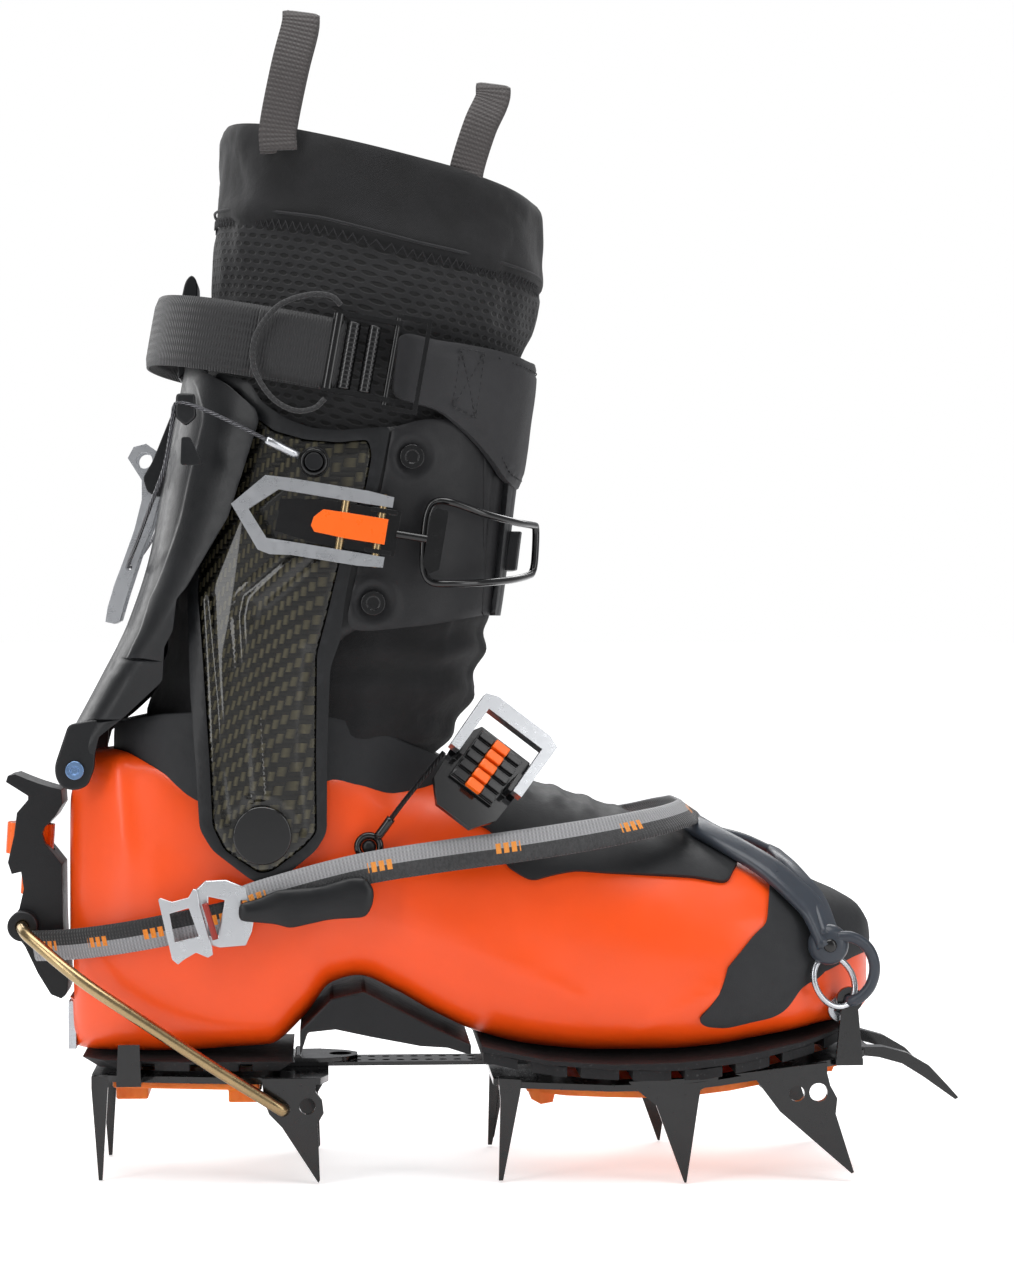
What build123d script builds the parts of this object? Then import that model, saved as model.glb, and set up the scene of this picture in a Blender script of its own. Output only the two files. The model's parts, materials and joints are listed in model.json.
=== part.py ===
# Alpine touring boot, right foot, with its strap-on crampon fitted.
# Millimetres.  +X runs from heel to toe, +Z is up, -Y is the outer (lateral) side with the buckles.
# Everything is laid out with Z = 0 on the plane of the crampon points and X = 0 at the heel end of
# the sole, then lowered by DATUM_Z when written: the origin is the centre of the heel binding plate.
from build123d import *
from functools import cache
import math
import os

DATUM_Z = 55.0              # heel binding plate centre above the plane of the points
SIDES = (-1, 1)             # outer, inner

# Places, X and Z
PIVOT = (73.0, 128.6)       # cuff pivot at the ankle
SPINE_PIVOT = (4.2, 151.7)
WALK_PIN = (32.6, 260.7)
CABLE_POST = (91.8, 263.9)
TOE_SOCKET = (287.5, 62)
BAIL_HOLE = (80.6, 27.1)
HEEL_LEVER_PIN = (-16.5, 92.9)
TOE_EYE = (289.6, 66.2)

# Wall and sheet thicknesses
SHELL_WALL = 3.0
LINER_WALL = 5.0
LINER_GAP = 1.6             # between shell and liner at the sides
LINER_ROOF_GAP = 2.0
COLLAR_WALL = 1.4
SPINE_WALL = 2.6
STEEL_T = 2.4               # crampon sheet

# Radii
PIVOT_R = 6.0
PIVOT_BORE = PIVOT_R + 0.05
SPINE_BOLT_R = 2.5
WALK_PIN_R = 2.0
WALK_BORE = WALK_PIN_R + 0.05
WIRE_R = 2.2                # crampon heel bail
WIRE_BORE = WIRE_R + 0.06
SOCKET_R = 5.0

# Superellipse powers
CUFF_POWER = 2.7
LINER_POWER = 2.4
SPINE_POWER = 2.6


# ------------------------------------------------------------------ helpers
def whole(method):
    """Makes a boolean return one shape, even when the result falls into several solids."""
    def run(self, *others, **options):
        result = method(self, *others, **options)
        return Compound(list(result)) if isinstance(result, (list, ShapeList)) else result
    return run


for shape_class in (Solid, Compound):
    for operation in ("fuse", "cut", "intersect"):
        setattr(shape_class, operation, whole(getattr(shape_class, operation)))

PIECES = []


def piece(build):
    """Registers a function; its shape or list of shapes is written under the function's name."""
    PIECES.append(build)
    return build


def save(name, shapes):
    shapes = shapes if isinstance(shapes, list) else [shapes]
    solids = [solid for shape in shapes for solid in shape.solids()]
    out = solids[0] if len(solids) == 1 else Compound(children=solids)
    export_step(out.moved(Location((0, 0, -DATUM_Z))), f"parts/{name}.step")


def biggest(shape):
    return max(shape.solids(), key=lambda solid: solid.volume)


def first(shape):
    return shape.solids()[0]


def fuse_all(shapes):
    """Fuses shapes one after another."""
    result = shapes[0]
    for shape in shapes[1:]:
        result = result.fuse(shape)
    return result


def polygon(points):
    return Face(Wire.make_polygon(points, close=True))


def prism(outline, y0, y1):
    """Outline in X, Z run along Y from y0 to y1."""
    return Solid.extrude(polygon([Vector(x, y0, z) for x, z in outline]), Vector(0, y1 - y0, 0))


def plate(outline, z, height):
    """Outline in X, Y run upwards from z."""
    return Solid.extrude(polygon([Vector(x, y, z) for x, y in outline]), Vector(0, 0, height))


def cyl(start, end, radius):
    run = Vector(*end) - Vector(*start)
    return Solid.make_cylinder(radius, run.length, Plane(origin=start, z_dir=run))


def cyl_y(at, radius, y0, y1):
    """Cylinder along Y through the X, Z of at."""
    x, z = at
    return cyl((x, y0, z), (x, y1, z), radius)


def box(x0, x1, y0, y1, z0, z1):
    return Solid.make_box(x1 - x0, y1 - y0, z1 - z0, Plane((x0, y0, z0)))


# near and far are distances from the Y = 0 plane, on the given side
def side_prism(side, outline, near, far):
    return prism(outline, *sorted((side * near, side * far)))


def side_cyl(side, at, radius, near, far):
    return cyl_y(at, radius, *sorted((side * near, side * far)))


def side_box(side, x0, x1, near, far, z0, z1):
    return box(x0, x1, *sorted((side * near, side * far)), z0, z1)


def on_side(side, points):
    return [(x, side * y, z) for x, y, z in points]


def mirrored(half):
    """Closes the -Y half of a plan outline with its mirror image."""
    return half + [(x, -y) for x, y in reversed(half)]


def rect(x0, x1, y0, y1):
    return [(x0, y0), (x1, y0), (x1, y1), (x0, y1)]


def band(stations, low, high):
    """Outline between two curves, each a function of X."""
    return [(x, low(x)) for x in stations] + [(x, high(x)) for x in reversed(stations)]


def rod(points, radius):
    """Round wire along a spline through points."""
    path = Wire([Edge.make_spline([Vector(*point) for point in points])])
    profile = Face(Wire.make_circle(radius, Plane(origin=path @ 0, z_dir=path % 0)))
    return Solid.sweep(profile, path)


def bent_rod(points, radius, closed=False):
    """Round wire with straight runs; each bend is a ball."""
    runs = list(zip(points[:-1], points[1:])) + ([(points[-1], points[0])] if closed else [])
    bits = [cyl(start, end, radius) for start, end in runs]
    bends = points if closed else points[1:-1]
    bits += [Solid.make_sphere(radius, Plane(point)) for point in bends]
    return biggest(bits[0].fuse(*bits[1:]))


def strip(points, width, thickness, width_dir=(1, 0, 0)):
    """Webbing as a chain of flat plates along a path, with a round joint at each bend."""
    across = Vector(*width_dir).normalized()
    half_width = across * (width / 2)
    bits = []
    for a, b in zip(points[:-1], points[1:]):
        start, run = Vector(*a), Vector(*b) - Vector(*a)
        half_thick = run.normalized().cross(across).normalized() * (thickness / 2)
        corners = [start - half_width - half_thick, start + half_width - half_thick,
                   start + half_width + half_thick, start - half_width + half_thick]
        bits.append(Solid.extrude(polygon(corners), run))
    for point in points[1:-1]:
        middle = Vector(*point)
        bits.append(cyl(middle - half_width, middle + half_width, thickness / 2))
    return fuse_all(bits)


def look_up(table, key):
    """Linear look-up in a table of rows keyed by the first column."""
    if key <= table[0][0]:
        return table[0][1:]
    for a, b in zip(table[:-1], table[1:]):
        if key <= b[0]:
            t = (key - a[0]) / (b[0] - a[0])
            return tuple(p + (q - p) * t for p, q in zip(a[1:], b[1:]))
    return table[-1][1:]


def overshoot(rows, margin):
    """Moves the keys of the first and last rows outwards, so that a bore cuts clean through."""
    head, tail = rows[0], rows[-1]
    return [(head[0] - margin,) + head[1:]] + rows[1:-1] + [(tail[0] + margin,) + tail[1:]]


def poly_loft(rings):
    """Closed solid of flat triangles through rings of points; every ring is flat."""
    count = len(rings[0])
    faces = [polygon(rings[0]), polygon(rings[-1])]
    for low, high in zip(rings[:-1], rings[1:]):
        for i in range(count):
            j = (i + 1) % count
            faces.append(polygon([low[i], low[j], high[j]]))
            faces.append(polygon([low[i], high[j], high[i]]))
    return Solid(Shell(faces))


def signed_root(value, power):
    """Superellipse coordinate from a sine or cosine."""
    return math.copysign(abs(value) ** (2 / power), value)


def ring_angles(count):
    return [2 * math.pi * (i + 0.5) / count for i in range(count)]


def oval(z, centre_x, half_length, half_width, power, count=28):
    return [Vector(centre_x + signed_root(math.cos(t), power) * half_length,
                   signed_root(math.sin(t), power) * half_width, z) for t in ring_angles(count)]


def tube(table, off, power):
    """Closed oval column through rows of Z, centre X, half length, half width, widened by off."""
    return poly_loft([oval(z, centre, length + off, width + off, power)
                      for z, centre, length, width in table])


# ------------------------------------------------------------------ driving shapes
# Z, centre X, half length, half width of the liner and of the cuff's inner face
LINER = [(150, 80, 54, 35.0), (210, 96.5, 59.0, 43.6), (256, 102.2, 59.0, 48.0),
         (316, 112.8, 59.5, 51.2), (395, 119, 60, 50)]
CUFF = [(96, 73, 66, 44.6), (150, 83, 62, 45.2), (210, 96.5, 60.5, 47.8),
        (256, 102.2, 60.6, 50.4), (316, 111, 60, 53)]

# Lower shell: X, bottom Z, top Z, outer half width, inner half width (outer = -Y side),
# upper roundness, top narrowing
SHELL = [
    (0.6, 47.5, 140, 12, 12, 5, 0.10), (8, 46, 157.5, 26.5, 26, 6, 0.12),
    (20, 45.6, 159, 34, 33.5, 6, 0.10), (45, 46, 151.5, 39, 38.5, 6, 0.02),
    (75, 48, 141.5, 42, 41.2, 6, -0.02), (98, 71, 157, 42.8, 41.6, 6, 0.03),
    (110, 73.6, 154, 43.6, 42, 5, 0.08), (136, 60, 150, 46, 43.4, 3.0, 0.16),
    (152, 52.7, 148.5, 47.8, 44.4, 2.5, 0.12), (175, 47.5, 144.0, 50.4, 46.4, 2.3, 0.05),
    (205, 45.7, 134.5, 52.6, 48.3, 2.2, 0), (240, 47.2, 122.5, 52, 50, 2.15, 0),
    (270, 52, 112, 43.8, 46.5, 2.3, 0), (291, 56, 102, 29, 34, 2.6, 0),
    (301.5, 60, 92, 10, 14, 3, 0)]
SHELL_MID_X = 150           # lifting applies behind this, stretching grows away from it
WIDEST_AT = 0.42            # share of a section's height where it is widest
LOWER_ROUNDNESS = 4.0
LOWER_NARROWING = 0.10
MIN_HALF_WIDTH = 3


@cache
def cuff_tube(off):
    return tube(CUFF, off, CUFF_POWER)


def cuff_wall(inner, outer):
    """The part of the cuff's shape between two offsets."""
    return cuff_tube(outer).cut(cuff_tube(inner))


def cuff_panel(side, outline, inner, outer, near=0):
    """The part of the cuff between two offsets that lies over an outline, on one side."""
    return cuff_tube(outer).intersect(side_prism(side, outline, near, 90)).cut(cuff_tube(inner))


def cuff_reach(at, off):
    """Distance of the cuff's shape from the Y = 0 plane at X, Z, with an offset."""
    x, z = at
    centre, length, width = look_up(CUFF, z)
    u = min(abs(x - centre) / (length + off), 1.0)
    return (width + off) * (1 - u ** CUFF_POWER) ** (1 / CUFF_POWER)


def shell_section(row, inset, floor_in, roof_in, lift):
    x, bottom, top, outer, inner, roundness, narrowing = row
    bottom, top = bottom + floor_in, top - roof_in + lift
    outer, inner = max(outer - inset, MIN_HALF_WIDTH), max(inner - inset, MIN_HALF_WIDTH)
    middle = bottom + WIDEST_AT * (top - bottom)
    points = []
    for angle in ring_angles(22):
        across, up = math.cos(angle), math.sin(angle)
        power = roundness if up > 0 else LOWER_ROUNDNESS
        height = top - middle if up > 0 else middle - bottom
        width = inner if across > 0 else outer
        rise = signed_root(up, power) * height
        if up > 0:
            width *= 1 - narrowing * rise / height
        else:
            width *= 1 - LOWER_NARROWING * (abs(rise) / height) ** 2
        points.append(Vector(x, signed_root(across, power) * width, middle + rise))
    return points


def shell_solid(inset, floor_in=0.0, roof_in=0.0, rear_lift=None, x0=-1, x1=400, stretch=0.0):
    """Lower shell's shape through the stations from x0 to x1, pulled in by the insets.
    With rear_lift the rear stations rise by it and keep their roof; stretch spreads X."""
    rings = []
    for row in SHELL:
        x = row[0]
        if x0 <= x <= x1:
            lifted = rear_lift is not None and x < SHELL_MID_X
            moved = (x + stretch * (x - SHELL_MID_X) / SHELL_MID_X,) + row[1:]
            rings.append(shell_section(moved, inset, floor_in, 0.0 if lifted else roof_in,
                                       rear_lift if lifted else 0.0))
    return poly_loft(rings)


def grown_shell(growth, x0, x1, stretch=0.0):
    return shell_solid(-growth, -growth, -growth, None, x0, x1, stretch)


SHELL_LOW = [(row[0], row[1] - 1.5) for row in SHELL]


def shell_low(x):
    return look_up(SHELL_LOW, x)[0]


# ------------------------------------------------------------------ lower shell
SPINE_LUG = [(-2.6, 148.6), (0.6, 145.0), (4.2, 143.0), (13.0, 143.0), (13.0, 156.0),
             (4.2, 156.4), (0.6, 155.6), (-2.6, 153.2)]
HEEL_PLATE_T = 3.0


@piece
def lower_shell():
    cavity = shell_solid(SHELL_WALL, 4.0, SHELL_WALL, 14, 8, 291)
    throat = Solid.extrude(polygon(oval(134, 80, 65.5, 39.0, 2.4, 22)), Vector(0, 0, 60))
    shell = shell_solid(0).cut(cavity).cut(throat)
    # instep slot under the tongue
    shell = shell.cut(box(126, 196, -15, 15, 112, 175))
    # heel welt notch that the crampon lever bites into, and the seat of the heel plate
    shell = shell.cut(box(-5, 8.5, -17, 17, 65.6, 81.5))
    shell = shell.cut(box(-5, HEEL_PLATE_T + 0.05, -14, 14, 45, 65))
    # rear lugs for the spine bolts
    for side in SIDES:
        shell = shell.fuse(side_prism(side, SPINE_LUG, 15.5, 29.5))
    shell = shell.cut(cyl_y(SPINE_PIVOT, SPINE_BOLT_R + 0.05, -60, 60))
    shell = shell.cut(cyl_y(PIVOT, PIVOT_BORE, -60, 60))
    # seats of the toe binding sockets
    for side in SIDES:
        shell = shell.cut(side_cyl(side, TOE_SOCKET, SOCKET_R + 0.2, 24, 60))
    return biggest(shell)


@piece
def toe_binding_sockets():
    return [side_cyl(side, TOE_SOCKET, SOCKET_R, 24.1, 35.2)
            .cut(side_cyl(side, TOE_SOCKET, 2.6, 29.0, 40)) for side in SIDES]


@piece
def heel_binding_plate():
    body = box(0.0, HEEL_PLATE_T, -13.9, 13.9, 46.6, 64.4)
    for side in SIDES:
        y = side * 7.5
        body = body.cut(cyl((-2, y, DATUM_Z), (4, y, DATUM_Z), 2.6))
    return body


# ------------------------------------------------------------------ soles
# Z, plan X, Y of the heel tread's lower and upper faces
HEEL_SOLE = (
    (40.8, [(12, -20), (20, -28), (45, -34), (79, -35), (79, 34), (45, 33.5), (20, 28), (12, 20)]),
    (44.6, [(5.5, -19), (14, -29), (45, -36.5), (84, -37.5), (84, 36.5), (45, 36), (14, 29),
            (5.5, 19)]))
# X, outer half width, inner half width of the forefoot tread
SOLE_PLAN = [(150, 47.0, 43.5), (172, 49, 45), (198, 51.2, 47), (222, 52, 48.5), (240, 51, 49),
             (256, 47.5, 48), (270, 42, 45.5), (282, 35, 40), (291, 27, 32), (297, 19, 24)]
# X, Z of the tread's rockered underside
LUG_LOW = [(150, 46.0), (165, 42.5), (182, 39.8), (212, 38.3), (234, 38.6), (256, 41.9),
           (278, 46.3), (297, 52.5)]
# X start and end of each tread block
TREAD_BLOCKS = [(153.5, 166), (171, 184), (189, 203), (208, 222), (227, 241), (246, 259),
                (264, 277), (281, 295)]
# X, Z of the bridge under the waist of the foot; its top follows the shell
ARCH_LOW = [(86.5, 46.5), (89.4, 55.4), (99.6, 56.4), (112.3, 53.6), (130.8, 50.0),
            (140.8, 49.3), (149.4, 46.5)]
ARCH_TOP_X = (149.4, 136, 110, 98, 86.5)


@piece
def heel_outsole():
    sole = Solid.make_loft([Wire.make_polygon([Vector(x, y, z) for x, y in plan], close=True)
                            for z, plan in HEEL_SOLE])
    # edge grooves
    for x in (28, 46, 64):
        sole = sole.cut(box(x, x + 5, -60, -21, 40, 43.6)).cut(box(x, x + 5, 21, 60, 40, 43.6))
    return sole


def lug_z(x):
    return look_up(LUG_LOW, x)[0]


def tread_slab(x0, x1, top, bottom, inset=0.0):
    """A length of tread whose top and bottom are functions of X."""
    stations = [x0] + [row[0] for row in SOLE_PLAN if x0 < row[0] < x1] + [x1]
    plan = band(stations, lambda x: inset - look_up(SOLE_PLAN, x)[0],
                lambda x: look_up(SOLE_PLAN, x)[1] - inset)
    # the side outline runs just past both ends
    steps = [x0 - 0.01 + (x1 - x0 + 0.02) * i / 6 for i in range(7)]
    return plate(plan, 30, 40).intersect(prism(band(steps, bottom, top), -60, 60))


@piece
def forefoot_outsole():
    sole = tread_slab(153, 297, shell_low, lambda x: lug_z(x) + 3.6)
    for x0, x1 in TREAD_BLOCKS:
        sole = sole.fuse(tread_slab(x0, x1, lambda x: lug_z(x) + 3.9, lug_z, 0.6))
    return biggest(sole.cut(box(140, 300, -18, 18, 30, 41.3)))


@piece
def arch_shank():
    top = [(x, shell_low(x) - 1.6) for x in ARCH_TOP_X]
    return biggest(prism(ARCH_LOW + top, -39, 38))


# ------------------------------------------------------------------ skins on the shell
SKIN_GAP = 0.25
RAND_T = 1.5                # outer face above the shell
TONGUE_T = 2.0
# X, Z outlines
RAND = [(267, 98.1), (259.7, 95.7), (253.2, 91.8), (248.4, 86.2), (240.4, 72.6), (231.9, 60.7),
        (233.1, 58.7), (238.8, 56.5), (242.8, 56.4), (259.7, 59.9), (264.5, 62.5), (270.1, 70.9),
        (274.2, 73.2), (280.7, 76.3), (292, 80.3), (306, 83), (306, 102), (292, 107), (283, 113),
        (269.3, 113)]
RAND_NOTCH = [(262, 108), (270, 104), (282, 105), (283, 120), (262, 120)]
TONGUE = [(120, 172), (128, 150), (146.4, 131), (153.8, 132), (158.4, 127.7), (161.6, 117.5),
          (165, 114.8), (171.3, 111.3), (178, 113.4), (187.7, 115.2), (200.7, 114.1),
          (212.7, 113.4), (232.2, 113.4), (246.4, 112.4), (256, 117), (256, 150), (180, 172)]
COLLAR = [(140, 80, 62.4, 37.4), (150, 80, 63.4, 37.4), (172, 80, 61.2, 37.2)]
COLLAR_TRIM = [(96, 173), (118, 165.5), (137, 158), (160, 150), (160, 200), (60, 200)]


@piece
def toe_rand():
    skin = grown_shell(RAND_T, 200, 400, RAND_T).cut(grown_shell(SKIN_GAP, 200, 400, SKIN_GAP))
    rand = skin.intersect(prism(RAND, -70, 70)).cut(prism(RAND_NOTCH, -22, 22))
    for side in SIDES:
        rand = rand.cut(side_cyl(side, TOE_SOCKET, SOCKET_R + 0.4, 20, 60))
    return biggest(rand)


@piece
def instep_tongue():
    skin = grown_shell(TONGUE_T, 130, 275).cut(grown_shell(SKIN_GAP, 130, 275))
    return biggest(skin.intersect(prism(TONGUE, -70, 70)).cut(box(100, 137, -70, 70, 40, 200)))


@piece
def ankle_collar():
    """Rubber collar inside the shell's mouth."""
    collar = tube(COLLAR, 0, 2.4).cut(tube(overshoot(COLLAR, 0.1), -COLLAR_WALL, 2.4))
    collar = collar.cut(prism(COLLAR_TRIM, -60, 60)).cut(box(112, 170, -60, 60, 100, 200))
    return biggest(collar)


# ------------------------------------------------------------------ liner
LINER_MOUTH = [(100, 84, 40, 26), (175, 80, 50, 28.5)]     # columns as in LINER
LINER_TRIM = [(20, 192), (155, 202), (190, 240), (190, 359), (182, 360.5), (141, 372.4),
              (95, 383.1), (70.8, 388.7), (58, 391), (40, 391)]


@piece
def liner_foot():
    side_in, roof_in = SHELL_WALL + LINER_GAP, SHELL_WALL + LINER_ROOF_GAP
    foot = shell_solid(side_in, 7.0, roof_in, None, 20, 282)
    hollow = shell_solid(side_in + LINER_WALL, 11.0, roof_in + LINER_WALL, None, 30, 275)
    foot = foot.cut(hollow).cut(tube(LINER_MOUTH, 0, LINER_POWER))
    # open the top and the instep, and clear the ankle pivots
    foot = foot.cut(box(-10, 400, -80, 80, 135.5, 260)).cut(box(124, 198, -17, 17, 105, 260))
    return biggest(foot.cut(cyl_y(PIVOT, 12, -60, 60)))


@piece
def liner_shaft():
    shaft = tube(LINER, 0, LINER_POWER).cut(tube(LINER, -LINER_WALL, LINER_POWER))
    return biggest(shaft.intersect(prism(LINER_TRIM, -80, 80)))


def pull_loop(x, y, z, height, width, gap, lean):
    """Upright webbing loop, its legs a gap apart in Y and its top leaning towards the toe."""
    # shares of lean and height, distance of the leg from the loop's middle
    leg = [(0, gap / 2, 0), (0.4, gap / 2 + 0.4, 0.5), (0.8, gap * 0.4, 0.86),
           (0.95, gap * 0.15, 0.975)]
    path = [(x + lean * a, y - b, z + height * c) for a, b, c in leg]
    path += [(x + lean * a, y + b, z + height * c) for a, b, c in reversed(leg)]
    return biggest(strip(path, width, 1.4))


@piece
def pull_loops():
    return [pull_loop(79, -40.5, 389.0, height=38.5, width=14.0, gap=9.5, lean=8),
            pull_loop(150, -36.0, 373.8, height=30.3, width=13.0, gap=8.5, lean=8)]


# ------------------------------------------------------------------ cuff
# X, Z outlines: side plate rim, its opening, and the flap in front of it
PLATE_OUT = [
    (51.1, 298.4), (60.8, 295.9), (68.7, 293), (73, 285.8), (81, 280), (90.7, 276.3),
    (100.5, 275.4), (119.4, 276.9), (117.2, 264.9), (115, 254.8), (105.6, 227.5), (103, 214.1),
    (101.2, 199.6), (97.6, 189.1), (96.5, 157.1), (96.4, 129.5), (92.5, 123), (78.3, 111.4),
    (73.3, 110.4), (68.6, 112.6), (54.8, 123.2), (50.2, 130.8), (48.7, 155.1), (46.6, 181.5),
    (44.5, 214.8), (43, 228.6), (45, 257.5), (47.6, 286.4)]
PLATE_IN = [
    (53.8, 294.3), (60.8, 291.9), (65.8, 288.7), (69.4, 281.5), (77.4, 275.3), (88.6, 272.1),
    (100.5, 271.1), (111.4, 272.2), (112.8, 266.7), (110.6, 254.8), (101.6, 229.7),
    (96.5, 208.3), (92.9, 194.5), (92.5, 157.1), (92.8, 129.5), (88.5, 124.5), (76.5, 115.4),
    (71.8, 114.7), (59.2, 123.2), (54.9, 131.9), (53.8, 155.1), (51.3, 192.4), (48.4, 216.6),
    (47.0, 228.6), (49, 257.5), (51.4, 286.4)]
FLAP = [(120.1, 276.6), (131.8, 279.8), (148.6, 279.8), (190, 279.8), (190, 208), (158.5, 209),
        (152.3, 208.2), (135.5, 205.2), (112.1, 202.8), (105.6, 203.2), (103.6, 207.1),
        (107.9, 227.6), (116.2, 254.1), (118.2, 265.1)]
# the base sheet follows the rim but reaches forward under the flap
BASE_OUT = PLATE_OUT[:8] + [
    (150, 279), (166, 279), (166, 209), (135.5, 206.2), (112.1, 203.8), (106.6, 203.2),
    (101.2, 199.6)] + PLATE_OUT[13:]
CUFF_RIVETS = [(127.3, 266.0), (113.2, 213.0)]


def cut_side_plate(side, plate_shape):
    """Cuts the pivot hole and the room for the spine as the cuff rocks."""
    bored = plate_shape.cut(side_cyl(side, PIVOT, PIVOT_BORE, 0, 90))
    return biggest(bored.cut(side_box(side, 30, 55.5, 5, 38.6, 234, 315)))


@piece
def cuff_frame():
    frames = []
    for side in SIDES:
        sheet = cuff_panel(side, BASE_OUT, 0.5, 1.5, 12)
        rim = cuff_panel(side, PLATE_OUT, 1.4, 3.4).cut(side_prism(side, PLATE_IN, 0, 90))
        frames.append(cut_side_plate(side, sheet.fuse(rim)))
    return frames


@piece
def carbon_side_plates():
    # the rim's opening, shrunk a little about a point in it
    outline = [(75 + (x - 75) * 0.975, 200 + (z - 200) * 0.992) for x, z in PLATE_IN]
    return [cut_side_plate(side, cuff_panel(side, outline, 1.6, 3.0)) for side in SIDES]


@piece
def cuff_flaps():
    flaps = []
    for side in SIDES:
        flap = biggest(cuff_panel(side, FLAP, 1.65, 3.2, 11))
        for at in CUFF_RIVETS:
            flap = flap.cut(cyl_y(at, 2.5, -90, 90))
        flaps.append(biggest(flap))
    return flaps


@piece
def cuff_rivets():
    rivets = []
    for at in CUFF_RIVETS:
        y = cuff_reach(at, 3.2)
        for side in SIDES:
            shank = side_cyl(side, at, 2.2, y - 1.1, y + 1.2)
            head = side_cyl(side, at, 4.4, y + 0.9, y + 2.1)
            head = head.cut(side_cyl(side, at, 2.4, y + 1.7, y + 3))
            rivets.append(biggest(shank.fuse(head)))
    return rivets


@piece
def shin_plate():
    return biggest(cuff_wall(3.6, 5.4).intersect(box(150, 190, -21, 21, 208, 283)))


@piece
def ankle_pivot_rivets():
    """Shaft through shell and plate, head outside the plate, washer inside the shell."""
    y = cuff_reach(PIVOT, 3.6)
    rivets = []
    for side in SIDES:
        shaft = side_cyl(side, PIVOT, PIVOT_R, 36.2, y + 0.4)
        head = side_cyl(side, PIVOT, 10.6, y + 0.3, y + 2.4)
        washer = side_cyl(side, PIVOT, 8.0, 34.4, 36.2)
        rivets.append(first(shaft.fuse(head).fuse(washer)))
    return rivets


# ------------------------------------------------------------------ rear spine
# Z, rear X, half width, depth of the rounded back
SPINE_ROWS = [(157, -3.6, 33.8, 15), (186, 12, 40, 20), (206, 22, 48, 26), (233, 30.5, 55.2, 40),
              (260, 35.0, 58.4, 58), (303, 43.4, 60.4, 60), (318, 45.2, 61, 60)]
# X, Z outlines
SPINE = [(44, 303), (50.7, 298.4), (60.9, 291.9), (71, 282.7), (72, 278.7), (60.9, 244.2),
         (45.7, 218.7), (42.1, 214.6), (40.6, 203), (37.4, 197), (36.4, 184.5), (22, 171),
         (13, 164), (11.3, 157.2), (-20, 157.2), (-20, 303)]
SPINE_TANG = [(44.6, 300), (46.4, 322), (48.2, 332), (50.5, 336.4), (54.2, 336.8), (56.6, 333),
              (57.0, 327), (52.5, 324), (49.5, 316), (47.6, 300)]
SPINE_EAR = [(12.0, 162.4), (11.3, 152.2), (8.8, 145.8), (4.2, 144.2), (-0.6, 145.2),
             (-2.9, 149), (-3.2, 153.5), (1.8, 166.5), (12, 166.5)]
CABLE_HOOK = [(43.6, 286), (43.2, 279.5), (46.0, 277.2), (48.8, 279.5), (48.4, 286)]
LEVER_BRACKET = [(41.5, 291.4), (31.5, 266.2), (27.8, 259.9), (29.4, 254.7), (33.4, 252.6),
                 (40.2, 258), (43.9, 281.6)]


def spine_section(row, inset):
    """Rounded back with straight sides running forward."""
    z, rear_x, half_width, depth = row
    half_width, rear_x, depth = half_width - inset, rear_x + inset, depth - inset
    points = []
    for i in range(13):
        angle = -math.pi / 2 + math.pi * i / 12
        forward = 1 - abs(math.cos(angle)) ** (2 / SPINE_POWER)
        across = signed_root(math.sin(angle), SPINE_POWER)
        points.append(Vector(rear_x + depth * forward, across * half_width, z))
    front_x = rear_x + depth + 45
    return points + [Vector(front_x, half_width, z), Vector(front_x, -half_width, z)]


@piece
def rear_spine():
    outer = poly_loft([spine_section(row, 0) for row in SPINE_ROWS])
    inner = poly_loft([spine_section(row, SPINE_WALL) for row in overshoot(SPINE_ROWS, 0.5)])
    wall = outer.cut(inner)
    upper = wall.intersect(box(-20, 58.5, -13, 13, 290, 317))
    spine = wall.intersect(prism(SPINE, -90, 90))
    # tang above the wings, kept clear of the liner
    liner_room = tube(LINER[2:], 5.5, LINER_POWER)
    tang = prism(SPINE_TANG, -12, 12).cut(liner_room)
    spine = spine.fuse(upper.cut(liner_room)).fuse(tang)
    # ears on the pivot bolts
    for side in SIDES:
        spine = spine.fuse(side_prism(side, SPINE_EAR, 31.4, 33.8))
    spine = biggest(spine.cut(cyl_y(SPINE_PIVOT, SPINE_BOLT_R + 0.08, -60, 60)))
    # slotted cable hook on each wing
    for side in SIDES:
        hook = side_prism(side, CABLE_HOOK, 55.0, 61.4)
        spine = spine.fuse(hook.cut(side_box(side, 40, 52, 59.0, 60.6, 275.5, 288.5)))
    # bracket plates for the walk lever
    for side in SIDES:
        spine = spine.fuse(side_prism(side, LEVER_BRACKET, 10.2, 12.6))
    spine = spine.cut(cyl_y(WALK_PIN, WALK_BORE, -30, 30))
    return biggest(spine.cut(box(15, 47, -10.2, 10.2, 246, 277)))


@piece
def spine_bolts():
    bolts = []
    for side in SIDES:
        shank = side_cyl(side, SPINE_PIVOT, SPINE_BOLT_R, 24.0, 34.1)
        bolt = shank.fuse(side_cyl(side, SPINE_PIVOT, 3.4, 34.0, 35.4))
        bolts.append(first(bolt.cut(side_cyl(side, SPINE_PIVOT, 1.5, 34.9, 36))))
    return bolts


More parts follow.
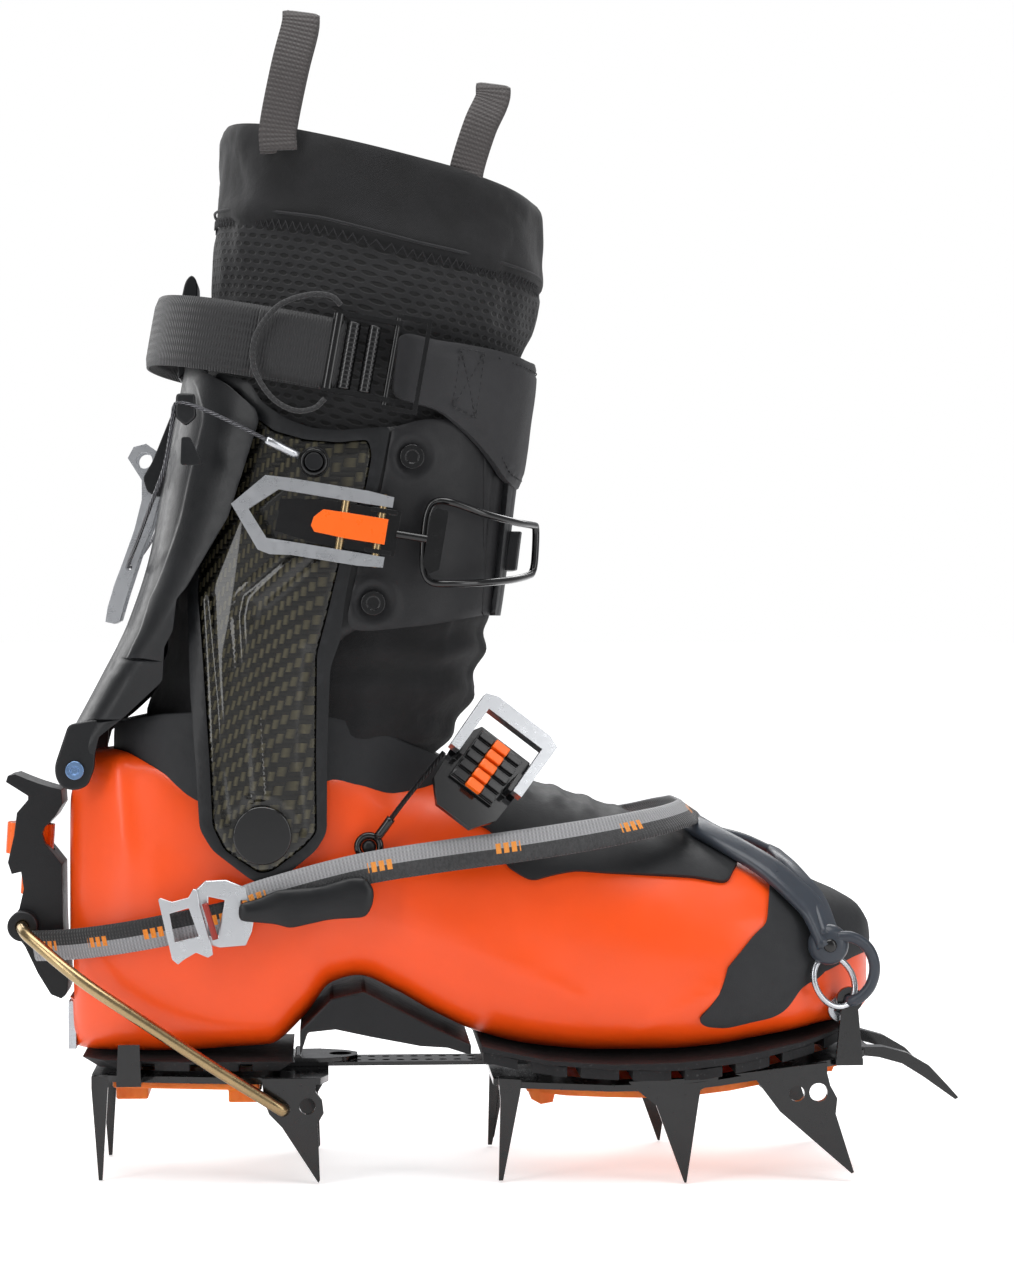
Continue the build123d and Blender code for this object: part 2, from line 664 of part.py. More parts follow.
# ------------------------------------------------------------------ walk lever and its cables
WALK_LEVER = [(22.0, 267.4), (24.2, 271.6), (28.8, 272.9), (32.6, 270.2), (34.6, 264),
              (35.2, 257), (30.8, 240.5), (27.0, 232), (24.4, 224.0), (21.6, 215.4),
              (19.0, 206.4), (17.0, 205.3), (13.6, 206), (14.4, 211.3), (16.9, 219.9),
              (20.4, 229.2), (24.4, 240.5), (27.2, 251.7), (27.2, 259.2)]
WALK_LEVER_WINDOW = [(14.0, 212), (17.0, 221), (20.4, 229.5), (23.5, 237.1), (32, 237.1),
                     (28.5, 224), (25.2, 215.6), (21.6, 209)]
CABLE_EYE_TAIL = [(88.5, 268.6), (82.6, 269.8), (81.6, 267.2), (86.2, 261.2)]
CABLE_R = 0.75
# X, distance from Y = 0, Z
LOWER_CABLE = [(43.0, 60.6, 275.0), (38.5, 60.2, 262), (33.0, 52, 248), (28.0, 32, 235.5),
               (23.4, 18, 228.6), (22.6, 10.8, 226.9)]


@piece
def walk_lever():
    lever = prism(WALK_LEVER, -9.4, 9.4)
    lever = lever.cut(box(0, 60, -7.2, 7.2, 236, 280)).cut(prism(WALK_LEVER_WINDOW, -7.2, 7.2))
    for at, radius in ((WALK_PIN, WALK_BORE), ((28.2, 266.6), 3.0), ((22.4, 226.6), 1.2)):
        lever = lever.cut(cyl_y(at, radius, -30, 30))
    return first(lever)


@piece
def walk_lever_pin():
    """The end discs stand clear of the bar; only the first solid of the group is kept."""
    pin = cyl_y(WALK_PIN, WALK_PIN_R, -12.55, 12.55)
    pin = pin.fuse(cyl_y(WALK_PIN, 3.0, -14, -12.65))
    return first(pin.fuse(cyl_y(WALK_PIN, 3.0, 12.65, 14)))


@piece
def cable_posts():
    y = cuff_reach(CABLE_POST, 3.1)
    posts = []
    for side in SIDES:
        base = side_cyl(side, CABLE_POST, 5.6, y + 0.5, y + 1.5)
        stem = side_cyl(side, CABLE_POST, 2.5, y + 1.4, y + 4.9)
        cap = side_cyl(side, CABLE_POST, 3.3, y + 4.6, y + 5.4)
        posts.append(first(base.fuse(stem).fuse(cap)))
    return posts


@piece
def lock_cables_upper():
    """Eye on the post, ferrule, and cable running back towards the spine's wing."""
    cables = []
    for side in SIDES:
        y = side * (cuff_reach(CABLE_POST, 3.1) + 3.0)
        eye = cyl_y(CABLE_POST, 5.0, y - 0.9, y + 0.9)
        eye = eye.fuse(prism(CABLE_EYE_TAIL, y - 0.9, y + 0.9)).cut(cyl_y(CABLE_POST, 2.6, -90, 90))
        ferrule = cyl((84.4, y, 267.0), (74.6, side * 59.6, 271.6), 1.7)
        cable = cyl((75.5, side * 59.65, 271.2), (38.0, side * 59.8, 286.4), CABLE_R)
        cables.append(first(eye.fuse(ferrule).fuse(cable)))
    return cables


@piece
def lock_cables_lower():
    return [rod(on_side(side, LOWER_CABLE), CABLE_R) for side in SIDES]


# ------------------------------------------------------------------ power strap
# The webbing and buckle are laid out level, then tilted.
STRAP_TILT = 10.0
STRAP_PAD = [(133, 304.5), (141, 306.5), (190, 301), (190, 254.5), (157.8, 255.2), (153.4, 258),
             (133.2, 282.4)]
# X, Y from the buckle round the back to the inner side
STRAP_PLAN = [(96, -59.6), (82, -59.2), (68, -57.6), (54, -52.5), (43, -44), (35, -32), (31, -16),
              (30, 0), (31, 16), (35, 32), (43, 44), (54, 52.5), (68, 57.6), (82, 59.2),
              (100, 60.4), (116, 60.6), (131, 59.4)]
STRAP_Z = 302.0
PULL_CORD = [(98, -63.6, 319.6), (94, -64.4, 322), (86, -64.6, 321), (76, -64.4, 315),
             (70, -64, 303), (71.5, -64, 292), (79, -64.2, 283), (88, -64.4, 279.5),
             (95, -64.4, 281.5), (98.2, -63.6, 285.6)]
# X, Y of the buckle's front bar, which the link hangs on
FRONT_BAR = (119.4, -62.4)
LINK_R = 1.0


def tilted(shape):
    return shape.rotate(Axis((100, 0, 300), (0, 1, 0)), STRAP_TILT)


def upright(at, z0, z1, radius):
    return cyl((*at, z0), (*at, z1), radius)


@piece
def strap_shin_pad():
    pad = cuff_wall(5.6, 7.4).intersect(prism(STRAP_PAD, -90, 90))
    return biggest(pad.cut(box(100, 300, 60, 90, 200, 400)))


@piece
def strap_webbing():
    path = [(x, y, STRAP_Z) for x, y in STRAP_PLAN]
    return biggest(tilted(strip(path, 25.4, 1.8, (0, 0, 1))))


@piece
def strap_buckle_frame():
    """Two upright bars joined by cheeks."""
    bits = [upright((98.2, -62.6), 289.4, 316.6, 2.1), upright(FRONT_BAR, 290.4, 315.6, 2.1)]
    bits += [box(96.6, 121.0, -64.2, -60.9, z, z + 1.8) for z in (288.2, 316.0)]
    return first(tilted(fuse_all(bits).cut(upright(FRONT_BAR, 280, 325, LINK_R + 0.05))))


@piece
def strap_hook_link():
    link = fuse_all([upright(FRONT_BAR, 287.2, 318.8, LINK_R),
                     box(118.6, 131.5, -63.2, -61.9, 318.8, 320.4),
                     box(118.6, 131.5, -63.2, -61.9, 285.6, 287.2),
                     box(129.9, 131.5, -63.2, -61.9, 286, 320)])
    return biggest(tilted(link))


@piece
def strap_pull_cord():
    return tilted(rod(PULL_CORD, 0.9))


# ------------------------------------------------------------------ cuff buckle
# Its own frame: x along the buckle towards the toe, y outwards (-Y), z along the hinge axis.
BUCKLE_ORIGIN = Vector(115.25, -59.0, 238.9)
BUCKLE_AXIS = Vector(0.161, 0.0, 0.987).normalized()
BUCKLE_ALONG = Vector(BUCKLE_AXIS.Z, 0, -BUCKLE_AXIS.X)
CROSS_PIN_X = -13.4
BUCKLE_PIN_R = 1.5
BUCKLE_BORE = BUCKLE_PIN_R + 0.1
# x, z outlines in the buckle's frame
BRACKET_BASE = [(-37, -6), (-37, 6), (-20, 8.2), (7, 8.2), (7, -8.2), (-20, -8.2)]
BUCKLE_LEVER = [(-54.0, 1.0), (-43.5, 13.2), (-35, 13.6), (-6, 13.6), (3.4, 12.8), (3.4, 9.0),
                (-7, 8.9), (-38, 8.9), (-47.5, 0.2), (-39.5, -9.0), (-31, -8.9), (-7, -8.9),
                (3.4, -9.0), (3.4, -12.8), (-6, -13.6), (-30, -13.6), (-37.5, -14.6),
                (-42, -13.6)]
SLIDER = [(-24, 1.2), (-21, 4.4), (-12, 4.6), (2.6, 4.6), (2.6, -4.6), (-12, -4.6),
          (-23, -4.0), (-24.5, -2.0)]
SLIDER_RECESS = [(-3.1, -8), (-3.1, 8), (3.4, 8), (3.4, -8)]
HOOK_HEAD = [(17.4, 9.5), (19.5, 11.8), (23.6, 11.0), (23.6, -10.2), (20.4, -12.2), (17.4, -9.5)]
# X, Y, Z of the wire from the hook round to the catch and back
BUCKLE_BAIL = [
    (131.6, -54.3, 224.4), (131.2, -54.6, 231), (131.6, -54.8, 238), (132.8, -54.6, 245.6),
    (135.6, -54.8, 249.6), (141.5, -55.6, 249.4), (155.1, -50.6, 245.0), (166.6, -38.5, 242.6),
    (173.2, -24.2, 242.0), (174.4, -20.6, 241.4), (174.5, -19.9, 236.0), (174.0, -19.9, 228),
    (173.2, -20.6, 224.8), (171.6, -24.5, 223.4), (164.2, -38.5, 221.6), (153.0, -49.8, 220.4),
    (140.8, -55.0, 220.0), (134.2, -54.9, 220.6)]


def buckle_at(x, y, z):
    return BUCKLE_ORIGIN + BUCKLE_ALONG * x + Vector(0, -1, 0) * y + BUCKLE_AXIS * z


def buckle_prism(outline, y0, y1):
    face = polygon([buckle_at(x, y0, z) for x, z in outline])
    return Solid.extrude(face, Vector(0, -(y1 - y0), 0))


def buckle_pin(x, half_length, radius):
    return cyl(buckle_at(x, 0, -half_length), buckle_at(x, 0, half_length), radius)


@piece
def cuff_buckle_bracket():
    """Base on the cuff with two cheeks."""
    bracket = buckle_prism(BRACKET_BASE, -4.6, -3.4).cut(cuff_tube(3.75))
    for z0, z1 in ((6.6, 8.2), (-8.2, -6.6)):
        bracket = bracket.fuse(buckle_prism(rect(-4, 5.5, z0, z1), -4.4, 2.4))
    return biggest(bracket.cut(buckle_pin(0, 12, BUCKLE_BORE)))


@piece
def cuff_buckle_hinge_pin():
    return buckle_pin(0, 13.2, BUCKLE_PIN_R)


@piece
def cuff_buckle_lever():
    lever = buckle_prism(BUCKLE_LEVER, -1.8, 1.8)
    for x in (0, CROSS_PIN_X):
        lever = lever.cut(buckle_pin(x, 20, BUCKLE_BORE))
    return biggest(lever)


@piece
def cuff_buckle_cross_pin():
    return buckle_pin(CROSS_PIN_X, 13.2, BUCKLE_PIN_R)


@piece
def cuff_buckle_slider():
    slider = buckle_prism(SLIDER, -2.1, 3.6).cut(buckle_pin(CROSS_PIN_X, 20, BUCKLE_PIN_R + 0.06))
    return biggest(slider.cut(buckle_prism(SLIDER_RECESS, -2.4, 2.1)))


@piece
def cuff_buckle_hook():
    shank = cyl(buckle_at(6.3, 0.6, 0), buckle_at(17.5, 0.6, 0), 1.5)
    return biggest(shank.fuse(buckle_prism(HOOK_HEAD, -2.6, 2.2)))


@piece
def cuff_buckle_bail():
    return bent_rod(BUCKLE_BAIL, 1.05, closed=True)


@piece
def cuff_buckle_catch():
    """Grooved block on the shin plate."""
    catch = cuff_wall(5.6, 9.6).intersect(box(150, 190, -18.4, 18.4, 225.4, 240.0))
    groove_depth = cuff_wall(7.6, 12)
    for y in (-12.5, -5.5, 1.5):
        catch = catch.cut(groove_depth.intersect(box(100, 200, y, y + 3, 200, 260)))
    return biggest(catch)


# ------------------------------------------------------------------ instep buckle
# Its own frame: x along the hinge, y up across the instep, z out of the shell.
INSTEP_ORIGIN = Vector(155.0, -57.2, 154.2)
INSTEP_HINGE = Vector(0.794, 0, -0.607)
INSTEP_SLOPE = Vector(0.50, 0.40, 0.66)
INSTEP_UP = (INSTEP_SLOPE - INSTEP_HINGE * INSTEP_SLOPE.dot(INSTEP_HINGE)).normalized()
INSTEP_OUT = INSTEP_HINGE.cross(INSTEP_UP)
INSTEP_PIN_R = 1.25
TOOTH_PITCH = 4.5
TOOTH_COUNT = 5
# x, y outlines in the buckle's frame
INSTEP_BASE = [(-13.5, -15), (-7, -22.5), (8, -22.5), (14, -14), (15.2, 6), (12, 13), (-10, 13),
               (-15.0, 4)]
INSTEP_LEVER = [(-16.0, -3.2), (-12.2, -3.2), (-12.2, 17.2), (12.2, 17.2), (12.2, -3.2),
                (16.0, -3.2), (16.4, 21.5), (12, 23.4), (-12, 23.4), (-16.4, 21.5)]
INSTEP_CABLE = [(116.0, -46.9, 129.0), (121.6, -47.8, 137), (130.6, -48.8, 148.5),
                (139.0, -48.6, 158.8)]


def instep_at(x, y, z):
    return INSTEP_ORIGIN + INSTEP_HINGE * x + INSTEP_UP * y + INSTEP_OUT * z


def instep_prism(outline, z0, z1):
    face = polygon([instep_at(x, y, z0) for x, y in outline])
    return Solid.extrude(face, INSTEP_OUT * (z1 - z0))


def instep_pin(x0, x1, radius):
    return cyl(instep_at(x0, 0, 0), instep_at(x1, 0, 0), radius)


def instep_bore():
    return instep_pin(-30, 30, INSTEP_PIN_R + 0.1)


@piece
def instep_buckle_base():
    """Base plate with two cheeks, and the two hinge pins."""
    base = instep_prism(INSTEP_BASE, -6.8, -4.4)
    for x0, x1 in ((-11.8, -10.2), (10.2, 11.8)):
        base = base.fuse(instep_prism(rect(x0, x1, -4, 4), -4.5, 2.4))
    base = base.cut(instep_bore()).cut(grown_shell(2.4, 130, 275))
    pins = [instep_pin(x0, x1, INSTEP_PIN_R) for x0, x1 in ((-15.8, -9.9), (9.9, 15.8))]
    return [biggest(base), *pins]


@piece
def instep_ladder():
    """Rack plate with a row of rungs along each edge."""
    rack = instep_prism(rect(-9.4, 9.4, -11, 12), -4.35, -2.9)
    for i in range(TOOTH_COUNT):
        y = -10.2 + i * TOOTH_PITCH
        for x0, x1 in ((-9.0, -3.4), (3.4, 9.0)):
            rack = rack.fuse(instep_prism(rect(x0, x1, y, y + 2.6), -3.0, -1.2))
    return biggest(rack)


@piece
def instep_ladder_teeth():
    starts = [-11.0 + i * TOOTH_PITCH for i in range(TOOTH_COUNT)]
    return [instep_prism(rect(-3.1, 3.1, y, y + 3.4), -2.85, 0.4) for y in starts]


@piece
def instep_buckle_lever():
    return biggest(instep_prism(INSTEP_LEVER, -2.0, 2.2).cut(instep_bore()))


@piece
def instep_cable():
    ferrule = cyl((114.9, -46.6, 127.8), (119.8, -47.5, 134.6), 1.6)
    return first(rod(INSTEP_CABLE, 0.9).fuse(ferrule))


# ------------------------------------------------------------------ crampon, heel section
HEEL_FRAME_Z = 36.2         # underside of the heel frame's plate
# X, Y of the -Y half of each plan
HEEL_FRAME_PLAN = [(9.5, -24), (16, -27.5), (60, -35.2), (94, -38.2), (97, -30)]
HEEL_WINDOW = [(22, -14), (60, -20), (74, -20)]
HEEL_ANTIBALL = [(17, -22.5), (60, -30.5), (71.6, -32.5)]
# X, Z outlines
REAR_POINT = [(9.5, 38.2), (18, 38.2), (15.6, 34), (13.6, -0.2), (12.2, -0.2), (9.5, 34)]
HEEL_BLADE = [(72.5, 38.4), (73.4, 30), (75.2, 25.4), (80.0, 20.4), (93.2, 0.0), (93.8, 1.0),
              (93.0, 21.9), (95.2, 25.6), (94.6, 30.4), (92.2, 33.5), (92.2, 38.4)]
HEEL_CLIP = [(19.5, HEEL_FRAME_Z), (28.6, HEEL_FRAME_Z), (28, 51.6), (20.2, 51.6)]


def steel_prism(side, outline, far):
    """Upright sheet whose outward face lies at far."""
    return side_prism(side, outline, far - STEEL_T, far)


@piece
def crampon_heel_frame():
    frame = plate(mirrored(HEEL_FRAME_PLAN), HEEL_FRAME_Z, STEEL_T)
    frame = frame.cut(plate(mirrored(HEEL_WINDOW), 30, 20))
    for side in SIDES:
        frame = frame.fuse(steel_prism(side, REAR_POINT, 27.3))
        blade = steel_prism(side, HEEL_BLADE, 38.2).cut(cyl_y(BAIL_HOLE, WIRE_BORE, -60, 60))
        frame = frame.fuse(blade.cut(cyl_y((89.2, 28.2), 3.0, -60, 60)))
        # side clip that locates the boot's heel
        foot = side_box(side, 19.5, 28.6, 28.0, 40.0, HEEL_FRAME_Z, 38.2)
        frame = frame.fuse(side_prism(side, HEEL_CLIP, 38.4, 40.0)).fuse(foot)
    return biggest(frame)


@piece
def antiball_heel():
    body = plate(mirrored(HEEL_ANTIBALL), 33.2, 2.9)
    for x0, x1, half_width in ((18, 30, 18), (60, 71.5, 28)):
        body = body.fuse(box(x0, x1, -half_width, half_width, 28.2, 33.4))
    return first(body)


# ------------------------------------------------------------------ crampon, front section
# X, Z that the front frame follows
FRONT_Z = [(150, 36.2), (200, 35.4), (225, 35.6), (240, 37.2), (256, 39.4), (278, 42.6),
           (302, 46.2)]
FRONT_DROP = 0.6            # middle of the frame's sheet below FRONT_Z
FRONT_X = [158, 170, 185, 200, 212, 225, 240, 256, 270, 284, 300]
FRONT_ANTIBALL_X = [171, 181, 200, 215, 230, 245, 260, 275, 290]
# X, Y of the -Y half of each plan
FRONT_PLAN = [(158, -30), (166, -38), (200, -44.6), (232, -46.0), (256, -45), (284, -39.5),
              (297, -30), (300, -20)]
FRONT_WINDOW = [(176, -16), (196, -30), (232, -34), (262, -30), (286, -14)]
FRONT_ANTIBALL = [(170, -22), (185, -33), (215, -39.5), (245, -39.5), (270, -33), (288, -22)]
# X, Z outlines
REAR_LEG = [(159.5, 38), (168, 37.4), (167.6, 33), (161.2, 0.2), (159.6, 0.2), (160.2, 30)]
REAR_LEG_CUT = [(158, 33), (165.2, 34), (160.9, -5), (158, -5)]
MID_POINT = [(207, 37), (212.5, 32.2), (217.1, 28.6), (227.5, 0.0), (228.3, 0.0), (233.4, 34.0),
             (240, 37.6), (240, 38.8), (207, 37.4)]
RAKED_POINT = [(246, 39.8), (254, 37.6), (262.9, 25.8), (289.6, 2.6), (290.4, 3.2),
               (283.6, 24.8), (284.2, 30.5), (281.6, 35.2), (280.4, 39.9), (280.4, 43.8)]
TOE_POST = [(284.4, 42.0), (294.6, 42.0), (292.8, 62.4), (286.4, 62.4)]
FRONT_POINT = [(296, 46.8), (305, 46.6), (314, 44.2), (322.5, 39.2), (329.5, 31.8),
               (333.8, 27.0), (332.6, 26.2), (327.5, 29.8), (320, 35.2), (312, 40.2),
               (303, 42.8), (296, 43.6)]
# X, distance from Y = 0 of the wedges that taper each front point
POINT_TAPERS = ([(290, 19.4), (296, 19.4), (334.5, 22.6), (334.5, 10), (290, 10)],
                [(290, 27.6), (296, 27.6), (334.5, 24.4), (334.5, 40), (290, 40)])
ANTIBALL_RIBS = (([(171, 33.4), (172.4, 28.2), (176, 26.2), (180.5, 27), (182, 33.2)], 26),
                 ([(280, 40.6), (280, 36.4), (286.5, 36.6), (287.6, 39.6), (284, 41.0)], 20))


def follow_front(stations, below, above):
    """X, Z band along FRONT_Z, between two heights relative to it."""
    return prism(band(stations, lambda x: look_up(FRONT_Z, x)[0] + below,
                      lambda x: look_up(FRONT_Z, x)[0] + above), -60, 60)


@piece
def crampon_front_frame():
    sheet = follow_front(FRONT_X, -STEEL_T / 2 - FRONT_DROP, STEEL_T / 2 - FRONT_DROP)
    frame = plate(mirrored(FRONT_PLAN), 20, 50).intersect(sheet)
    bits = [frame.cut(plate(mirrored(FRONT_WINDOW), 20, 50))]
    for side in SIDES:
        leg = side_prism(side, REAR_LEG, 33.6, 38.8).cut(side_prism(side, REAR_LEG_CUT, 30, 36.4))
        middle = steel_prism(side, MID_POINT, 45.8)
        raked = steel_prism(side, RAKED_POINT, 45.8).cut(cyl_y((269.2, 32.4), 2.9, -60, 60))
        raked = raked.cut(cyl_y((277.2, 32.8), 3.4, -60, 60))
        # post up to the toe eye
        post = side_prism(side, TOE_POST, 38.9, 41.1)
        post = post.fuse(side_cyl(side, TOE_EYE, 4.8, 38.9, 41.1))
        post = post.cut(cyl_y(TOE_EYE, 2.15, -70, 70))
        # curved front point
        point = side_prism(side, FRONT_POINT, 19.5, 27.5)
        for taper in POINT_TAPERS:
            point = point.cut(plate([(x, side * y) for x, y in taper], 10, 60))
        link = side_box(side, 284.4, 294.6, 29, 41.1, 41.9, 44.4)
        bits += [leg, middle, raked, post, point, link]
    return biggest(fuse_all(bits))


@piece
def antiball_front():
    body = plate(mirrored(FRONT_ANTIBALL), 10, 60)
    body = body.intersect(follow_front(FRONT_ANTIBALL_X, -5.2, -2.6))
    for outline, half_width in ANTIBALL_RIBS:
        body = body.fuse(prism(outline, -half_width, half_width))
    return biggest(body)


# ------------------------------------------------------------------ linking bar and its lock
BAR_HOLE_PITCH = 5.4
LOCK_PLAN = [(84.4, -12), (95, -13), (104, -9), (108, -4)]      # -Y half


@piece
def linking_bar():
    bar = box(76, 176, -9.5, 9.5, 38.75, 40.2)
    for i in range(11):
        x = 108 + i * BAR_HOLE_PITCH
        for side in SIDES:
            bar = bar.cut(upright((x, side * 4.4), 30, 45, 1.5))
    return bar


@piece
def bar_lock_plate():
    lock = plate(mirrored(LOCK_PLAN), 40.55, 1.6).cut(upright((101.5, 0), 30, 50, 4.2))
    return biggest(lock.fuse(cyl((85.5, -12, 42.0), (85.5, 12, 42.0), 1.4)))


# ------------------------------------------------------------------ crampon toe harness
HARNESS = [(226.5, 125.5), (229.5, 121.5), (236, 118.2), (246, 114), (256, 107.4), (262.6, 99.6),
           (268.6, 90.0), (274.4, 80.8), (281, 78.6), (287.4, 82.4), (288, 90.4), (281.2, 96.6),
           (272.4, 111), (268, 121), (256, 131), (240, 139), (228, 136)]
# X, Y plans of the openings in its top
HARNESS_FRONT_OPENING = mirrored([(259, -12), (274, -24), (292, -30)])
HARNESS_REAR_OPENING = [(231, -14), (246, -10), (252, 0), (246, 10), (231, 14)]
# X, distance from Y = 0, Z of the wire from the boss down into the toe eye
HARNESS_WIRE = [(283.5, 47.0, 89.0), (291.5, 46.4, 88.6), (297.2, 45.6, 81.5), (296.4, 45.0, 73),
                (TOE_EYE[0], 44.6, TOE_EYE[1]), (TOE_EYE[0], 38.2, TOE_EYE[1])]


@piece
def toe_harness():
    outer = shell_solid(-6.0, -5.8, -5.8, None, 200, 400, 4.5)
    inner = shell_solid(-2.8, -2.6, -2.6, None, 200, 400, 2.4)
    harness = outer.cut(inner).intersect(prism(HARNESS, -80, 80))
    for opening in (HARNESS_FRONT_OPENING, HARNESS_REAR_OPENING):
        harness = harness.cut(plate(opening, 90, 60))
    harness = biggest(harness)
    for side in SIDES:
        boss = cyl((280.5, side * 45.2, 87.0), (281.4, side * 49.0, 86.8), 7.4)
        harness = harness.fuse(boss.fuse(bent_rod(on_side(side, HARNESS_WIRE), 2.08)))
    return biggest(harness)


# ------------------------------------------------------------------ crampon heel bail and lever
HEEL_LEVER = [
    (-22.5, 148.6), (-19.8, 149.2), (-15, 147.2), (-11.3, 145.8), (-6.2, 144.2), (-2.6, 143.3),
    (-2.2, 138), (-5.0, 133.3), (-9.1, 129.1), (-9.8, 126.8), (-8.8, 123.3), (-5.8, 119.7),
    (-2.4, 115.4), (-2.2, 97.6), (-1.6, 84), (-0.5, 77.4), (-0.3, 73.0), (-0.4, 68.6),
    (-1.2, 66.4), (-2.8, 65.2), (-6.6, 66.8), (-11.4, 74.7), (-16.2, 84.8), (-18.6, 88),
    (-20.4, 92.9), (-18.6, 97.7), (-16.6, 106.3), (-17.6, 112.7), (-21.1, 111.9),
    (-22.5, 116.2), (-20.2, 126.2), (-19.1, 134.8), (-15, 139.6), (-15, 141.1), (-23.2, 146.3)]
WHEEL_AXIS = Vector(0.06, 0, 1).normalized()
WHEEL_CENTRE = Vector(-15.2, 0, 124.4)
WHEEL_NOTCHES = 12
# X, distance from Y = 0, Z from the lever pin forward and down into the blade's hole
HEEL_WIRE = [(-16.5, 0, 92.9), (-16.5, 19.5, 92.9), (-13.4, 29.5, 90.4), (7.0, 41.6, 75.4),
             (30, 44.5, 60.2), (78.6, 43.6, 28.6), (BAIL_HOLE[0], 41.6, BAIL_HOLE[1]),
             (BAIL_HOLE[0], 34.2, BAIL_HOLE[1])]


def wheel_cyl(below, above, radius, centre=WHEEL_CENTRE):
    return cyl(centre - WHEEL_AXIS * below, centre + WHEEL_AXIS * above, radius)


@piece
def heel_lever():
    lever = prism(HEEL_LEVER, -12, 12).cut(cyl_y(HEEL_LEVER_PIN, WIRE_BORE, -20, 20))
    # pocket and screw hole for the adjusting wheel
    lever = lever.cut(wheel_cyl(6.3, 6.3, 9.4).intersect(box(-40, 10, -9.4, 9.4, 100, 140)))
    return biggest(lever.cut(wheel_cyl(22, 14, 2.6)))


@piece
def heel_adjust_wheel():
    wheel = wheel_cyl(5.9, 5.9, 8.9)
    for i in range(WHEEL_NOTCHES):
        angle = 2 * math.pi * i / WHEEL_NOTCHES
        notch = WHEEL_CENTRE + Vector(math.cos(angle) * 9.6, math.sin(angle) * 9.6, 0)
        wheel = wheel.cut(wheel_cyl(8, 8, 1.35, notch))
    return biggest(wheel.fuse(wheel_cyl(21, 13.4, 2.5)))


@piece
def heel_wire_bail():
    return biggest(fuse_all([bent_rod(on_side(side, HEEL_WIRE), WIRE_R) for side in SIDES]))


@piece
def heel_bail_rollers():
    bore = cyl_y(HEEL_LEVER_PIN, WIRE_BORE, -30, 30)
    return [side_cyl(side, HEEL_LEVER_PIN, 5.6, 12.3, 19.0).cut(bore) for side in SIDES]


# ------------------------------------------------------------------ crampon strap
# X, Y, Z paths
FRONT_STRAP = [(74, -50.6, 106.9), (96, -51.4, 113.2), (115, -52.0, 118.0), (140, -53.4, 121.6),
               (165, -55.4, 124.4), (188, -55.2, 128.0), (207, -48.5, 131.8),
               (222, -36.0, 135.2), (231, -20, 138.0), (234, 0, 138.6)]
REAR_STRAP = [(60.0, -48.4, 99.0), (44, -47.6, 95.6), (30, -44.6, 92.6), (16, -38.0, 89.8),
              (8.6, -31.0, 88.0)]
# X, Z outlines
KEEPER = [(66.0, 98.6), (66.0, 104.0), (70.4, 105.2), (78.7, 108.8), (93.9, 109.8),
          (105.5, 113.4), (110.6, 113), (113.5, 109.4), (113.1, 104), (110.6, 99.3),
          (97.5, 98.6), (83, 95.4), (78, 97.3)]
BUCKLE_PLATE = [(48.8, 109.2), (52.4, 112.5), (60, 112.8), (67.2, 109.9), (70, 97.9),
                (69.3, 93.9), (67.1, 88.9), (57.8, 88.2), (54.9, 88.9), (50.6, 99.1)]
BUCKLE_PLATE_SLOTS = ([(53.2, 92.6), (57.0, 92.0), (59.4, 105.4), (53.6, 106.6)],
                      [(65.6, 98.4), (75, 98.4), (75, 105), (65.6, 105)])
CAM_PLATE = [(35.6, 105.9), (36.3, 106.6), (40.6, 105.1), (46.4, 106.6), (48.2, 109.8),
             (49.6, 109.4), (50.7, 104), (55, 88.4), (55.3, 85.9), (53.5, 84.8), (49.2, 86.7),
             (44.9, 84.2), (42.7, 82.4), (40.6, 84.2)]
CAM_PLATE_SLOT = [(41.6, 90.4), (50.2, 92.6), (46.6, 102.8), (39.6, 100.8)]


@piece
def crampon_strap_front():
    return biggest(strip(FRONT_STRAP, 11.5, 1.6, (-0.10, -0.10, 1.0)))


@piece
def strap_keeper_tab():
    return prism(KEEPER, -55.8, -53.4)


@piece
def strap_buckle_plate():
    body = prism(BUCKLE_PLATE, -51.4, -49.6)
    for slot in BUCKLE_PLATE_SLOTS:
        body = body.cut(prism(slot, -60, -40))
    return biggest(body)


@piece
def strap_cam_plate():
    return biggest(prism(CAM_PLATE, -53.6, -51.8).cut(prism(CAM_PLATE_SLOT, -60, -40)))


@piece
def crampon_strap_rear():
    return biggest(strip(REAR_STRAP, 11.0, 1.5, (-0.18, -0.05, 1.0)))


os.makedirs("parts", exist_ok=True)
for build in PIECES:
    save(build.__name__, build())
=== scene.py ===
"""A hard-shelled boot strapped into a crampon: detailed meshes and materials over its CAD parts.

The toe points along +X, Z is up, the near side is -Y and the far side +Y. Tables and sizes are in
millimetres with Z = 0 on the crampon points; the scene is in metres, with its origin DATUM higher.
"""
import json
import math
import random

import bmesh
import bpy
from mathutils import Matrix, Vector, noise
from mathutils.geometry import delaunay_2d_cdt

